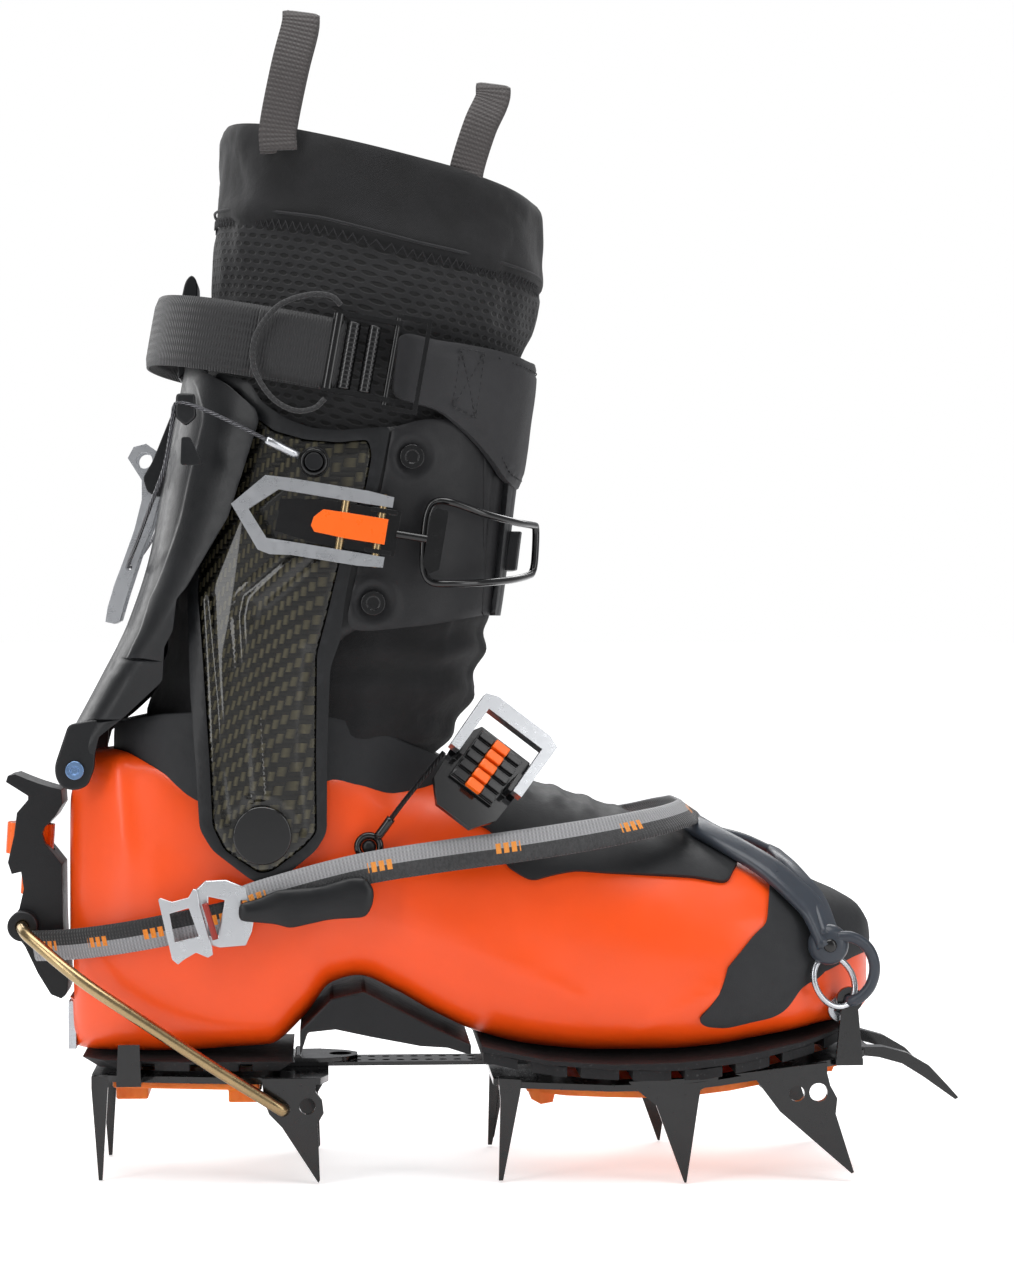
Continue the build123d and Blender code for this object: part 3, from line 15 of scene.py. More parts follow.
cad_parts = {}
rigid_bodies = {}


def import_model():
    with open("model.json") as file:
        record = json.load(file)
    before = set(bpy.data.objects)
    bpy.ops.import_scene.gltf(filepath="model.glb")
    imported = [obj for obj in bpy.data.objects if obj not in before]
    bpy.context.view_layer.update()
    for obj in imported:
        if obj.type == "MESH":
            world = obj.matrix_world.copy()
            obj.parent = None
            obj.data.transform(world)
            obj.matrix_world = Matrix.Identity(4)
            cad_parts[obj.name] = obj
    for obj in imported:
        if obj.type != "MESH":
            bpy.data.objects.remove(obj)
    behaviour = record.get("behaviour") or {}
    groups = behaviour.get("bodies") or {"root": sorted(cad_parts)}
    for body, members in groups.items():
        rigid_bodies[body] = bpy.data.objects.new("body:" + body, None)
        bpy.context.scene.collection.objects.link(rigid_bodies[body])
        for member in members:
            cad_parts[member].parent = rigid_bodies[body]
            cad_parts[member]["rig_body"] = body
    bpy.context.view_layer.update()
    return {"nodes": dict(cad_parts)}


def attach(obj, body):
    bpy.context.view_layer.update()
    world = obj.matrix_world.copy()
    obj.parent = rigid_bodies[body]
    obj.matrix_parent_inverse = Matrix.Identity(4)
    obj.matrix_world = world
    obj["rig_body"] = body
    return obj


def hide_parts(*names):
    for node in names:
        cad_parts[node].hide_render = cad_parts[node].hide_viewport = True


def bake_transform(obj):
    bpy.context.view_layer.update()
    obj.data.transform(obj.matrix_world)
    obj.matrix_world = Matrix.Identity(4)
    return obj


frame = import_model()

NODES = frame["nodes"]
DATUM = 55.0
SIDES = ((-1, "near"), (1, "far"))      # sign of Y, and the tag in object names
random.seed(11)


def to_scene(point):
    return Vector((point[0] / 1000, point[1] / 1000, (point[2] - DATUM) / 1000))


# ------------------------------------------------------------------ material tools
class Signal:
    """A shader value; Python arithmetic on it adds Math nodes."""

    def __init__(self, material, socket):
        self.material = material
        self.socket = socket

    def apply(self, operation, second=0.0):
        return self.material.math(operation, self, second)

    def __add__(self, other):
        return self.apply("ADD", other)

    def __sub__(self, other):
        return self.apply("SUBTRACT", other)

    def __mul__(self, other):
        return self.apply("MULTIPLY", other)

    def __radd__(self, other):
        return self.material.math("ADD", other, self)

    def __rsub__(self, other):
        return self.material.math("SUBTRACT", other, self)


class Material:
    """A Principled material and short ways to add nodes to it. Colours are linear RGB."""

    def __init__(self, name):
        self.material = bpy.data.materials.new(name)
        self.material.use_nodes = True
        self.tree = self.material.node_tree
        self.shader = self.tree.nodes["Principled BSDF"]
        self.coords = self.tree.nodes.new("ShaderNodeTexCoord").outputs

    def feed(self, socket, value):
        """Link a signal or socket into a socket, or set its value."""
        if isinstance(value, Signal):
            value = value.socket
        if isinstance(value, bpy.types.NodeSocket):
            self.tree.links.new(value, socket)
        else:
            socket.default_value = value

    def node(self, kind, output, inputs=None, **settings):
        node = self.tree.nodes.new("ShaderNode" + kind)
        for key, value in settings.items():
            setattr(node, key, value)
        for key, value in (inputs or {}).items():
            self.feed(node.inputs[key], value)
        return Signal(self, node.outputs[output])

    def math(self, operation, first, second=0.0, third=0.0):
        return self.node("Math", 0, {0: first, 1: second, 2: third}, operation=operation)

    def mix(self, factor, first, second):
        first, second = ((*c, 1) if isinstance(c, tuple) else c for c in (first, second))
        return self.node("Mix", 2, {0: factor, 6: first, 7: second}, data_type="RGBA")

    def noise(self, scale, detail=4.0, rough=0.55, vector=None):
        return self.node("TexNoise", "Fac", {"Scale": scale, "Detail": detail, "Roughness": rough,
                                             "Vector": vector or self.coords["Object"]})

    def ramp(self, value, low, high):
        """Map low..high to 0..1, clamped."""
        return self.node("MapRange", 0, {1: low, 2: high, 0: value})

    def bump(self, height, strength, distance, under=None):
        inputs = {"Strength": strength, "Distance": distance, "Height": height}
        if under is not None:
            inputs["Normal"] = under
        return self.node("Bump", "Normal", inputs)

    def separate(self, kind):
        node = self.tree.nodes.new("ShaderNodeSeparateXYZ")
        self.feed(node.inputs[0], self.coords[kind])
        return [Signal(self, output) for output in node.outputs]

    def set(self, **inputs):
        for key, value in inputs.items():
            self.feed(self.shader.inputs[key.replace("_", " ")], value)


def linear(red, green, blue):
    """Linear colour from 0..255 display values."""
    return tuple(((c / 255) / 12.92 if c <= 10 else (((c / 255) + 0.055) / 1.055) ** 2.4)
                 for c in (red, green, blue))


def scaled(colour, factor):
    return tuple(c * factor for c in colour)


def surface(name, colour, rough=0.45, metal=0.0, coat=0.0, drift=0.16, grain=900, bump=0.18,
            depth=0.00025, rough_drift=0.14, wear=None, sheen=0.0, soft=0.0, streak=0.0,
            speck=0.0, scatter=0.0):
    """Moulded or metal finish.

    drift: colour variation; grain, bump, depth: scale, strength and metres of the fine bump;
    wear: colour of rubbed edges; soft: broad bump; streak: brushed lines; speck: light dots.
    """
    mat = Material(name)
    base = linear(*colour)
    broad = mat.noise(scale=38, detail=5)
    medium = mat.noise(scale=260, detail=4)
    fine = mat.noise(scale=grain, detail=3, rough=0.6)
    light = tuple(min(c * (1 + drift * 0.7) + 0.002, 1) for c in base)
    shade = mat.mix(mat.ramp(broad, low=0.3, high=0.7), scaled(base, 1 - drift), light)
    if speck:
        dots = mat.ramp(fine, low=0.62, high=0.72) * speck
        shade = mat.mix(dots, shade, tuple(min(c + 0.12, 1) for c in base))
    if wear is not None:
        edge = mat.ramp(mat.node("NewGeometry", "Pointiness"), low=0.56, high=0.68)
        # only dark materials show the rubbed edges
        edge = edge * mat.ramp(medium, low=0.45, high=0.7) * (0.10 if max(base) < 0.3 else 0.0)
        shade = mat.mix(edge, shade, linear(*wear))
    mat.set(Base_Color=shade)
    gloss = (medium - 0.5) * (rough_drift * 2) + rough
    if streak:
        stretched = mat.node("Mapping", 0, {"Scale": (60, 60, 3200), 0: mat.coords["Object"]})
        lines = mat.noise(scale=1.0, detail=3, rough=0.6, vector=stretched)
        gloss = gloss + (lines - 0.5) * streak
        fine = lines * 0.8 + fine * 0.3
    normal = mat.bump(fine, bump, depth)
    if soft:
        normal = mat.bump(broad, strength=soft, distance=0.002, under=normal)
    mat.set(Roughness=gloss, Normal=normal, Metallic=metal, Coat_Weight=coat,
            Coat_Roughness=0.08, Sheen_Weight=sheen * 0.4)
    if not metal and max(base) < 0.2:
        mat.set(Specular_IOR_Level=0.34)
    if scatter:
        mat.set(Subsurface_Weight=scatter, Subsurface_Scale=0.004)
    return mat.material


# ------------------------------------------------------------------ materials
ORANGE = surface("shell_orange", (247, 80, 8), rough=0.36, coat=0.10, drift=0.04, grain=1500,
                 bump=0.10, depth=0.0001, rough_drift=0.10, soft=0.05, scatter=0.05)
ORANGE_PART = surface("orange_part", (255, 104, 10), rough=0.30, coat=0.2, drift=0.06, grain=1200,
                      bump=0.10, depth=0.0001, rough_drift=0.10)
SOLE = surface("sole_rubber", (22, 22, 24), rough=0.66, drift=0.25, grain=800, bump=0.45,
               depth=0.0003, rough_drift=0.16, wear=(82, 82, 84), sheen=0.05, soft=0.1, speck=0.25)
RAND = surface("rand_rubber", (37, 38, 40), rough=0.60, drift=0.12, grain=1400, bump=0.35,
               depth=0.0002, rough_drift=0.12, wear=(84, 86, 90), sheen=0.05, soft=0.08)
TONGUE = surface("tongue_rubber", (30, 31, 33), rough=0.55, drift=0.14, grain=1200, bump=0.35,
                 depth=0.0002, sheen=0.05, soft=0.08)
SATIN = surface("satin_black", (20, 21, 23), rough=0.40, coat=0.05, drift=0.18, grain=1100,
                bump=0.28, depth=0.0002, wear=(70, 72, 76), soft=0.06)
FLAP_BLACK = surface("flap_black", (25, 25, 27), rough=0.46, drift=0.15, grain=1600, bump=0.35,
                     depth=0.00018, rough_drift=0.12, wear=(66, 68, 70), soft=0.06)
GLOSS = surface("gloss_black", (9, 9, 10), rough=0.20, coat=0.6, drift=0.2, grain=700, bump=0.10,
                depth=0.0001, rough_drift=0.10, wear=(70, 70, 72))
BLACK_STEEL = surface("black_steel", (11, 11, 12), rough=0.24, metal=0.35, coat=0.55, drift=0.25,
                      grain=500, bump=0.16, depth=0.0001, rough_drift=0.12, wear=(150, 150, 155))
STEEL = surface("bright_steel", (196, 198, 202), rough=0.26, metal=1.0, drift=0.10,
                depth=0.00008, streak=0.12)
ALU = surface("satin_alu", (206, 208, 211), rough=0.30, metal=1.0, drift=0.02, grain=1500,
              bump=0.22, depth=0.00008, rough_drift=0.12, wear=(235, 236, 238), streak=0.10)
BLUE_ZINC = surface("blue_zinc", (120, 150, 190), rough=0.28, metal=1.0, drift=0.15, bump=0.15,
                    depth=0.0001)
BRASS = surface("brass", (172, 150, 112), rough=0.28, metal=1.0, depth=0.0001,
                rough_drift=0.15, wear=(232, 206, 150), streak=0.10)
SLATE = surface("slate_tpu", (56, 61, 69), rough=0.34, coat=0.1, drift=0.12, grain=1200,
                bump=0.22, depth=0.00015, wear=(112, 120, 132), soft=0.06, scatter=0.05)
PAD_GREY = surface("pad_grey", (42, 42, 44), rough=0.62, drift=0.10, grain=1900, bump=0.5,
                   depth=0.00018, rough_drift=0.10, sheen=0.12, soft=0.08)


def amber_plate():
    """Translucent amber with fine ribs across X."""
    mat = Material("amber_plate")
    clouds = mat.noise(scale=40, detail=4)
    mat.set(Base_Color=mat.mix(clouds, linear(214, 88, 10), linear(255, 140, 30)))
    ribs = (mat.separate("Object")[0] * 1800).apply("SINE")
    grain = mat.noise(scale=1100, detail=3)
    ribbed = mat.bump(ribs, strength=0.25, distance=0.0004)
    mat.set(Normal=mat.bump(grain, strength=0.2, distance=0.0002, under=ribbed),
            Roughness=mat.ramp(mat.noise(scale=300, detail=3), low=-0.4, high=1.6),
            Subsurface_Weight=0.25, Subsurface_Scale=0.004)
    return mat.material


AMBER = amber_plate()


def carbon_twill():
    """Two-over-two twill under gloss lacquer, black fibre with painted highlights; UVs are in
    millimetres.
    """
    tows_per_mm = 0.58
    fibre_rate = 38.0
    mat = Material("carbon_twill")
    along, across = mat.separate("UV")[:2]
    column, row = along * tows_per_mm, across * tows_per_mm
    index = column.apply("FLOOR") + row.apply("FLOOR")
    over = index.apply("FLOORED_MODULO", 4.0).apply("LESS_THAN", 1.9)
    crown_along = (column.apply("FRACT") * math.pi).apply("SINE")
    crown_across = (row.apply("FRACT") * math.pi).apply("SINE")
    height = over * crown_along + (1.0 - over) * crown_across
    fibre_along = (along * fibre_rate).apply("SINE")
    fibre_across = (across * fibre_rate).apply("SINE")
    fibres = over * fibre_along + (1.0 - over) * fibre_across
    jitter = mat.noise(scale=1.0, detail=2, rough=0.5, vector=mat.coords["UV"])
    # painted highlight: the over tows get an olive glint on their crowns, the under tows a painted
    # crown highlight that falls to painted shade at their edges
    lit = mat.ramp(height + jitter * 0.5, low=0.3, high=1.45)
    painted_glint = mat.mix(lit, linear(14, 13, 10), linear(78, 73, 54))
    cool = mat.mix(height, linear(5, 5, 5), linear(26, 25, 20))
    mat.set(Base_Color=mat.mix(over, cool, painted_glint),
            Normal=mat.bump(height + fibres * 0.05, strength=0.55, distance=0.0005),
            Roughness=0.26 + over * 0.10,
            Metallic=0.8, Coat_Weight=1.0, Coat_Roughness=0.05, Coat_IOR=1.5)
    return mat.material


CARBON = carbon_twill()


def liner_cloth():
    """Knit-faced foam above the seam (UV y > 0), open mesh below it whose oval holes are painted
    shade, not cut.
    """
    hole_pitch, row_pitch = 4.6, 3.1
    mesh_top, mesh_bottom = -1.0, -96.0
    mat = Material("liner_cloth")
    along, up = mat.separate("UV")[:2]
    knit = (along * 9.0).apply("SINE") * (up * 7.0).apply("SINE")
    row = (up * (1 / row_pitch)).apply("FLOOR")
    stagger = row.apply("FLOORED_MODULO", 2.0) * 0.5
    hole_x = (along * (1 / hole_pitch) + stagger).apply("FRACT") - 0.5
    hole_y = (up * (1 / row_pitch)).apply("FRACT") - 0.5
    squares = (hole_x * 2.3).apply("POWER", 2.0) + (hole_y * 2.9).apply("POWER", 2.0)
    hole = 1.0 - mat.ramp(squares.apply("SQRT"), low=0.62, high=0.95)
    mesh_zone = up.apply("LESS_THAN", mesh_top) * up.apply("GREATER_THAN", mesh_bottom)
    hole = hole * mesh_zone
    fuzz = mat.noise(scale=2600, detail=3, rough=0.7)
    clouds = mat.ramp(mat.noise(scale=60, detail=4), low=0.3, high=0.7)
    base = mat.mix(clouds, linear(13, 13, 14), linear(22, 22, 24))
    base = mat.mix(mesh_zone, base, mat.mix(fuzz, linear(17, 17, 18), linear(34, 34, 36)))
    # painted shade: the oval holes are painted near-black, standing in for the dark inside seen
    # through them, with a dip in the bump
    mat.set(Base_Color=mat.mix(hole, base, linear(3, 3, 3)))
    height = knit * 0.12 + fuzz * 0.35 - hole * 2.2
    puckers = mat.bump(mat.noise(scale=55, detail=4), strength=0.35, distance=0.003)
    mat.set(Normal=mat.bump(height, strength=0.7, distance=0.0004, under=puckers),
            Roughness=0.9, Sheen_Weight=0.12, Sheen_Roughness=0.5)
    return mat.material


LINER = liner_cloth()


def woven_tape(name, colour, weave=1.35, lower=None, block=None, pitch=47.0):
    """Woven tape. UV x is millimetres along it, UV y runs 0..1 across it.

    weave: length of one pick; lower: colour of the half with UV y < 0.5; block: colour of the
    marks repeated at pitch over the line between the halves.
    """
    middle, block_length, block_half_width = 0.50, 9.0, 0.16
    mat = Material(name)
    along, across = mat.separate("UV")[:2]
    picks = (along * (2 * math.pi / weave)).apply("SINE")
    warps = (across * (2 * math.pi * 9)).apply("SINE")
    height = picks * (0.6 + warps * 0.4)
    base = linear(*colour)
    # painted shade: the low places of the weave are painted darker, here and for the lower half
    # below
    shade = mat.mix(mat.ramp(height, low=-1, high=1), scaled(base, 0.55), base)
    if lower:
        other = linear(*lower)
        other = mat.mix(mat.ramp(height, low=-1, high=1), scaled(other, 0.55), other)
        shade = mat.mix(across.apply("LESS_THAN", middle), shade, other)
        phase = (along * (1 / pitch)).apply("FRACT")
        in_block = (phase.apply("LESS_THAN", block_length / pitch)
                    * (across - middle).apply("ABSOLUTE").apply("LESS_THAN", block_half_width))
        gaps = (along * 2.2).apply("SINE").apply("GREATER_THAN", -0.5)
        shade = mat.mix(in_block * gaps, shade, linear(*block))
    dirt = mat.noise(scale=700, detail=3) * 0.25
    mat.set(Base_Color=mat.mix(dirt, shade, scaled(base, 0.5)))
    height = height + mat.noise(scale=3500, detail=2) * 0.5
    mat.set(Normal=mat.bump(height, strength=0.6, distance=0.00035),
            Roughness=0.62, Sheen_Weight=0.2)
    return mat.material


WEB_BLACK = woven_tape("web_black", (27, 27, 29), weave=1.1)
WEB_FRONT = woven_tape("strap_two_tone", (168, 168, 170), lower=(22, 22, 24), block=(245, 150, 30))
WEB_REAR = woven_tape("strap_rear_tone", (26, 26, 28), lower=(165, 165, 168),
                      block=(245, 140, 20), pitch=24.0)
WEB_LOOP = woven_tape("loop_tape", (72, 67, 66), weave=1.6)
THREAD = surface("thread", (34, 34, 36), rough=0.8, drift=0.2, grain=3000, bump=0.6,
                 depth=0.0002, rough_drift=0.1, sheen=0.3)
CORD = woven_tape("cord", (30, 30, 32), weave=2.0)


def twisted_cable(name, colour, metal):
    mat = Material(name)
    along, around = mat.separate("UV")[:2]
    strands = (along * 3.2 + around * (2 * math.pi * 5)).apply("SINE")
    base = linear(*colour)
    # painted shade: the grooves between the strands are painted darker
    mat.set(Base_Color=mat.mix(mat.ramp(strands, low=-1, high=1), scaled(base, 0.3), base),
            Normal=mat.bump(strands, strength=0.8, distance=0.0004),
            Metallic=metal, Roughness=0.34)
    return mat.material


CABLE = twisted_cable("steel_cable", (120, 120, 124), metal=1.0)
CABLE_BLACK = twisted_cable("black_cable", (34, 34, 36), metal=0.2)


# ------------------------------------------------------------------ mesh tools
def add_object(name, mesh):
    obj = bpy.data.objects.new(name, mesh)
    bpy.context.scene.collection.objects.link(obj)
    return obj


def make(name, verts, faces, uvs=None):
    """Smooth-shaded object; uvs holds one pair per vertex."""
    mesh = bpy.data.meshes.new(name)
    mesh.from_pydata([to_scene(v) for v in verts], [], faces)
    if uvs is not None:
        layer = mesh.uv_layers.new(name="UVMap")
        for corner in mesh.loops:
            layer.data[corner.index].uv = uvs[corner.vertex_index]
    mesh.polygons.foreach_set("use_smooth", [True] * len(mesh.polygons))
    mesh.update()
    return add_object(name, mesh)


def solid(name, verts, faces, uvs=None, weld=False):
    """make() with its normals turned outwards."""
    obj = make(name, verts, faces, uvs)
    bm = bmesh.new()
    bm.from_mesh(obj.data)
    if weld:
        bmesh.ops.remove_doubles(bm, verts=bm.verts, dist=1e-6)
    bmesh.ops.recalc_face_normals(bm, faces=bm.faces)
    bm.to_mesh(obj.data)
    bm.free()
    return obj


def paint(obj, material):
    obj.data.materials.clear()
    obj.data.materials.append(material)


def bake(obj):
    """The modifiers become the mesh."""
    if obj.modifiers:
        graph = bpy.context.evaluated_depsgraph_get()
        mesh = bpy.data.meshes.new_from_object(obj.evaluated_get(graph))
        obj.modifiers.clear()
        obj.data = mesh


def mark_sharp(bm, degrees):
    limit = math.radians(degrees)
    for edge in bm.edges:
        edge.smooth = len(edge.link_faces) == 2 and edge.calc_face_angle(0.0) < limit
    for face in bm.faces:
        face.smooth = True


def sharpen(obj, degrees):
    bm = bmesh.new()
    bm.from_mesh(obj.data)
    mark_sharp(bm, degrees)
    bm.to_mesh(obj.data)
    bm.free()


def bevel(obj, width, segments, degrees):
    modifier = obj.modifiers.new("bevel", "BEVEL")
    modifier.width = width / 1000
    modifier.segments = segments
    modifier.limit_method = "ANGLE"
    modifier.angle_limit = math.radians(degrees)
    modifier.harden_normals = False
    modifier.use_clamp_overlap = True


def thicken(obj, metres, offset):
    modifier = obj.modifiers.new("s", "SOLIDIFY")
    modifier.thickness = metres
    modifier.offset = offset


def carve(obj, *cutters):
    for cutter in cutters:
        modifier = obj.modifiers.new("cut", "BOOLEAN")
        modifier.operation = "DIFFERENCE"
        modifier.solver = "EXACT"
        modifier.object = cutter
        bake(obj)
        bpy.data.objects.remove(cutter, do_unlink=True)


def place(obj, material, body, replaces=None):
    """Paint the object and tie it to a body; a blend (body, body, start, end) given instead is not
    used, and the object is only baked in place.
    """
    paint(obj, material)
    if isinstance(body, str):
        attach(obj, body)
    else:
        bake(obj)
        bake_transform(obj)
    if replaces:
        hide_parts(replaces)


def cad_part(node, material, edge, segments=2):
    """A hard part in the CAD part's own shape, cleaned up, with edges rounded to width edge."""
    corner_degrees = 30
    source = NODES[node]
    bm = bmesh.new()
    bm.from_mesh(source.data)
    bmesh.ops.remove_doubles(bm, verts=bm.verts, dist=2e-6)
    bmesh.ops.dissolve_limit(bm, angle_limit=math.radians(0.6), verts=bm.verts, edges=bm.edges)
    bmesh.ops.recalc_face_normals(bm, faces=bm.faces)
    mark_sharp(bm, corner_degrees)
    mesh = bpy.data.meshes.new("v_" + node)
    bm.to_mesh(mesh)
    bm.free()
    obj = add_object("v_" + node, mesh)
    bevel(obj, edge, segments, corner_degrees)
    place(obj, material, source["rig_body"], node)


def loft_faces(rings, count, start=0, loop=False, caps=False):
    """Quads between rings of count vertices, numbered from start."""
    faces = []
    for i in range(rings if loop else rings - 1):
        here, ahead = start + i * count, start + (i + 1) % rings * count
        for k in range(count):
            beside = (k + 1) % count
            faces.append((here + k, here + beside, ahead + beside, ahead + k))
    if caps:
        last = start + (rings - 1) * count
        faces.append(tuple(range(start + count - 1, start - 1, -1)))
        faces.append(tuple(range(last, last + count)))
    return faces


def loft(name, verts, count, uvs=None, loop=False):
    faces = loft_faces(len(verts) // count, count, loop=loop, caps=not loop)
    return solid(name, verts, faces, uvs)


def smooth_path(points, step=2.0, closed=False):
    """Catmull-Rom curve through the points, cut into pieces about one step long."""
    knots = [Vector(p) for p in points]
    total = len(knots)
    path = []
    for i in range(total if closed else total - 1):
        before = knots[(i - 1) % total] if closed or i > 0 else knots[0] * 2 - knots[1]
        start, end = knots[i], knots[(i + 1) % total]
        after = knots[(i + 2) % total] if closed or i + 2 < total else end * 2 - start
        pieces = max(int((end - start).length / step), 1)
        for j in range(pieces):
            t = j / pieces
            path.append(0.5 * ((2 * start) + (end - before) * t
                               + (2 * before - 5 * start + 4 * end - after) * t * t
                               + (3 * start - before - 3 * end + after) * t ** 3))
    if not closed:
        path.append(knots[-1])
    return path


def heading(path, i, closed=False):
    total = len(path)
    before = path[(i - 1) % total] if closed or i > 0 else path[0]
    after = path[(i + 1) % total] if closed or i < total - 1 else path[-1]
    return (after - before).normalized()


def circle(centre, side, up, radius, count):
    angles = [2 * math.pi * k / count for k in range(count)]
    return [centre + side * math.cos(t) * radius + up * math.sin(t) * radius for t in angles]


def tube(name, points, radius, step=1.2, sides=12, closed=False, smooth=True):
    """Round bar along a path; radius is a number or a function of 0..1 along it."""
    path = smooth_path(points, step, closed) if smooth else [Vector(p) for p in points]
    verts, uvs = [], []
    side = None
    length = 0
    for i, point in enumerate(path):
        ahead = heading(path, i, closed)
        if side is None:
            side = ahead.cross(Vector((0.02, 0.01, 1)))
            if side.length < 0.1:
                side = ahead.cross(Vector((0, 1, 0)))
            side.normalize()
        else:
            side = (side - ahead * side.dot(ahead)).normalized()
        if i:
            length += (point - path[i - 1]).length
        here = radius(i / (len(path) - 1)) if callable(radius) else radius
        verts += circle(point, side, ahead.cross(side), here, sides)
        uvs += [(length, k / sides) for k in range(sides)]
    return loft(name, verts, sides, uvs, closed)


def ribbon(name, points, width, thick, across, step=2.0):
    """Tape with a crowned face; across is its width direction, or a list spread along it."""
    crown, columns = 0.25, 9
    path = smooth_path(points, step)
    profile = []
    for face in (1, -1):
        for i in range(columns):
            u = face * (-1 + 2 * i / (columns - 1))
            thinning = thick * 0.32 if abs(u) > 0.95 else 0
            if face > 0:
                y = thick / 2 + crown * (1 - u * u) * 0.5 - thinning
            else:
                y = -(thick / 2 - thinning)
            profile.append((u * width / 2, y))
    verts, uvs = [], []
    length = 0
    for i, point in enumerate(path):
        ahead = heading(path, i)
        if isinstance(across, list):
            place_along = i / (len(path) - 1) * (len(across) - 1)
            j = min(int(place_along), len(across) - 2)
            side = Vector(across[j]).lerp(Vector(across[j + 1]), place_along - j)
        else:
            side = Vector(across)
        side = (side - ahead * side.dot(ahead)).normalized()
        normal = side.cross(ahead).normalized()
        if i:
            length += (point - path[i - 1]).length
        wobble = 0.25 * noise.noise(Vector((length * 0.05, width, 3.1)))
        for x, y in profile:
            verts.append(point + side * x + normal * (y + wobble))
            uvs.append((length, x / width + 0.5))
    return loft(name, verts, len(profile), uvs)


def mirrored(points, side):
    return [(x, side * y, z) for x, y, z in points]


def signed_power(value, exponent):
    return math.copysign(abs(value) ** exponent, value)


def clamp(value):
    return max(0.0, min(1.0, value))


def bell(distance, width):
    return math.exp(-(distance / width) ** 2)


def table(rows, x, column):
    """Smooth look-up: cubic through the rows, never overshooting."""
    if x <= rows[0][0]:
        return rows[0][column]
    if x >= rows[-1][0]:
        return rows[-1][column]
    i = 0
    while rows[i + 1][0] < x:
        i += 1
    y0, y1 = rows[i][column], rows[i + 1][column]
    span = rows[i + 1][0] - rows[i][0]
    chord = (y1 - y0) / span

    def slope(j):
        if j <= 0 or j >= len(rows) - 1:
            return chord
        below, here, above = rows[j - 1:j + 2]
        left = (here[column] - below[column]) / (here[0] - below[0])
        right = (above[column] - here[column]) / (above[0] - here[0])
        return 0.0 if left * right <= 0 else 2 * left * right / (left + right)
    t = (x - rows[i][0]) / span
    return ((2 * t ** 3 - 3 * t * t + 1) * y0 + (t ** 3 - 2 * t * t + t) * span * slope(i)
            + (-2 * t ** 3 + 3 * t * t) * y1 + (t ** 3 - t * t) * span * slope(i + 1))


def line_at(points, x):
    """Straight-line look-up of the second value by the first."""
    if x <= points[0][0]:
        return points[0][1]
    for start, end in zip(points[:-1], points[1:]):
        if x <= end[0]:
            return start[1] + (end[1] - start[1]) * (x - start[0]) / (end[0] - start[0])
    return points[-1][1]


def segment_distance(x, z, start, end):
    run, rise = end[0] - start[0], end[1] - start[1]
    square = run * run + rise * rise
    t = 0
    if square:
        t = min(max(((x - start[0]) * run + (z - start[1]) * rise) / square, 0), 1)
    return math.hypot(x - start[0] - t * run, z - start[1] - t * rise)


def outline_distance(x, z, outline, closed=True):
    total = len(outline)
    return min(segment_distance(x, z, outline[i], outline[(i + 1) % total])
               for i in range(total if closed else total - 1))


def inside(x, z, outline):
    result = False
    for i, (xi, zi) in enumerate(outline):
        xj, zj = outline[i - 1]
        if (zi > z) != (zj > z) and x < (xj - xi) * (z - zi) / (zj - zi) + xi:
            result = not result
    return result


def rounded(outline, radius):
    """Corners turned into small arcs."""
    pieces = 4
    result = []
    for i, corner in enumerate(outline):
        corner, before = Vector(corner), Vector(outline[i - 1])
        after = Vector(outline[(i + 1) % len(outline)])
        cut_in = min(radius, (before - corner).length * 0.45)
        cut_out = min(radius, (after - corner).length * 0.45)
        start = corner + (before - corner).normalized() * cut_in
        end = corner + (after - corner).normalized() * cut_out
        for j in range(pieces + 1):
            t = j / pieces
            result.append(tuple(start * (1 - t) ** 2 + corner * 2 * t * (1 - t) + end * t * t))
    return result


def triangulate(outline, step, holes):
    """Flat triangulation of an outline with evenly spread inner points."""
    loops = [outline] + list(holes)
    verts, edges = [], []

    def filled(x, z):
        return inside(x, z, outline) and not any(inside(x, z, hole) for hole in holes)
    for points in loops:
        first = len(verts)
        for i in range(len(points)):
            start, end = Vector(points[i]), Vector(points[(i + 1) % len(points)])
            pieces = max(int((end - start).length / step), 1)
            for j in range(pieces):
                verts.append(start.lerp(end, j / pieces))
        count = len(verts) - first
        edges += [(first + i, first + (i + 1) % count) for i in range(count)]
    x_low, x_high = min(v.x for v in verts), max(v.x for v in verts)
    z, z_high = min(v.y for v in verts) + step * 0.5, max(v.y for v in verts)
    row = 0
    # each new row is measured against the points gathered so far, rim included
    while z < z_high:
        x = x_low + (step * 0.5 if row % 2 else 0)
        while x < x_high:
            if filled(x, z) and all(outline_distance(x, z, lp) > step * 0.5 for lp in loops):
                verts.append(Vector((x, z)))
                x_high = max(x_high, verts[-1].x)
            x += step
        z += step * 0.9
        row += 1
    points, _, cells, *_ = delaunay_2d_cdt(verts, edges, [], 0, 1e-5)
    triangles = []
    for cell in cells:
        centre = sum((points[i] for i in cell), Vector((0, 0))) / len(cell)
        if filled(centre.x, centre.y):
            triangles.append(tuple(cell))
    return [tuple(p) for p in points], triangles


def thick_patch(name, outline, step, outer, inner, holes=(), uv=None):
    """Closed sheet: outer(x, z) and inner(x, z) give the 3-D points of its two faces."""
    points, triangles = triangulate(outline, step, holes)
    total = len(points)
    verts = [outer(*p) for p in points] + [inner(*p) for p in points]
    faces = triangles + [tuple(reversed([i + total for i in face])) for face in triangles]
    edges = dict.fromkeys((face[i], face[(i + 1) % len(face)])
                          for face in triangles for i in range(len(face)))
    for start, end in edges:
        if (end, start) not in edges:
            faces.append((end, start, start + total, end + total))
    return solid(name, verts, faces, [uv(*p) if uv else p for p in points] * 2)


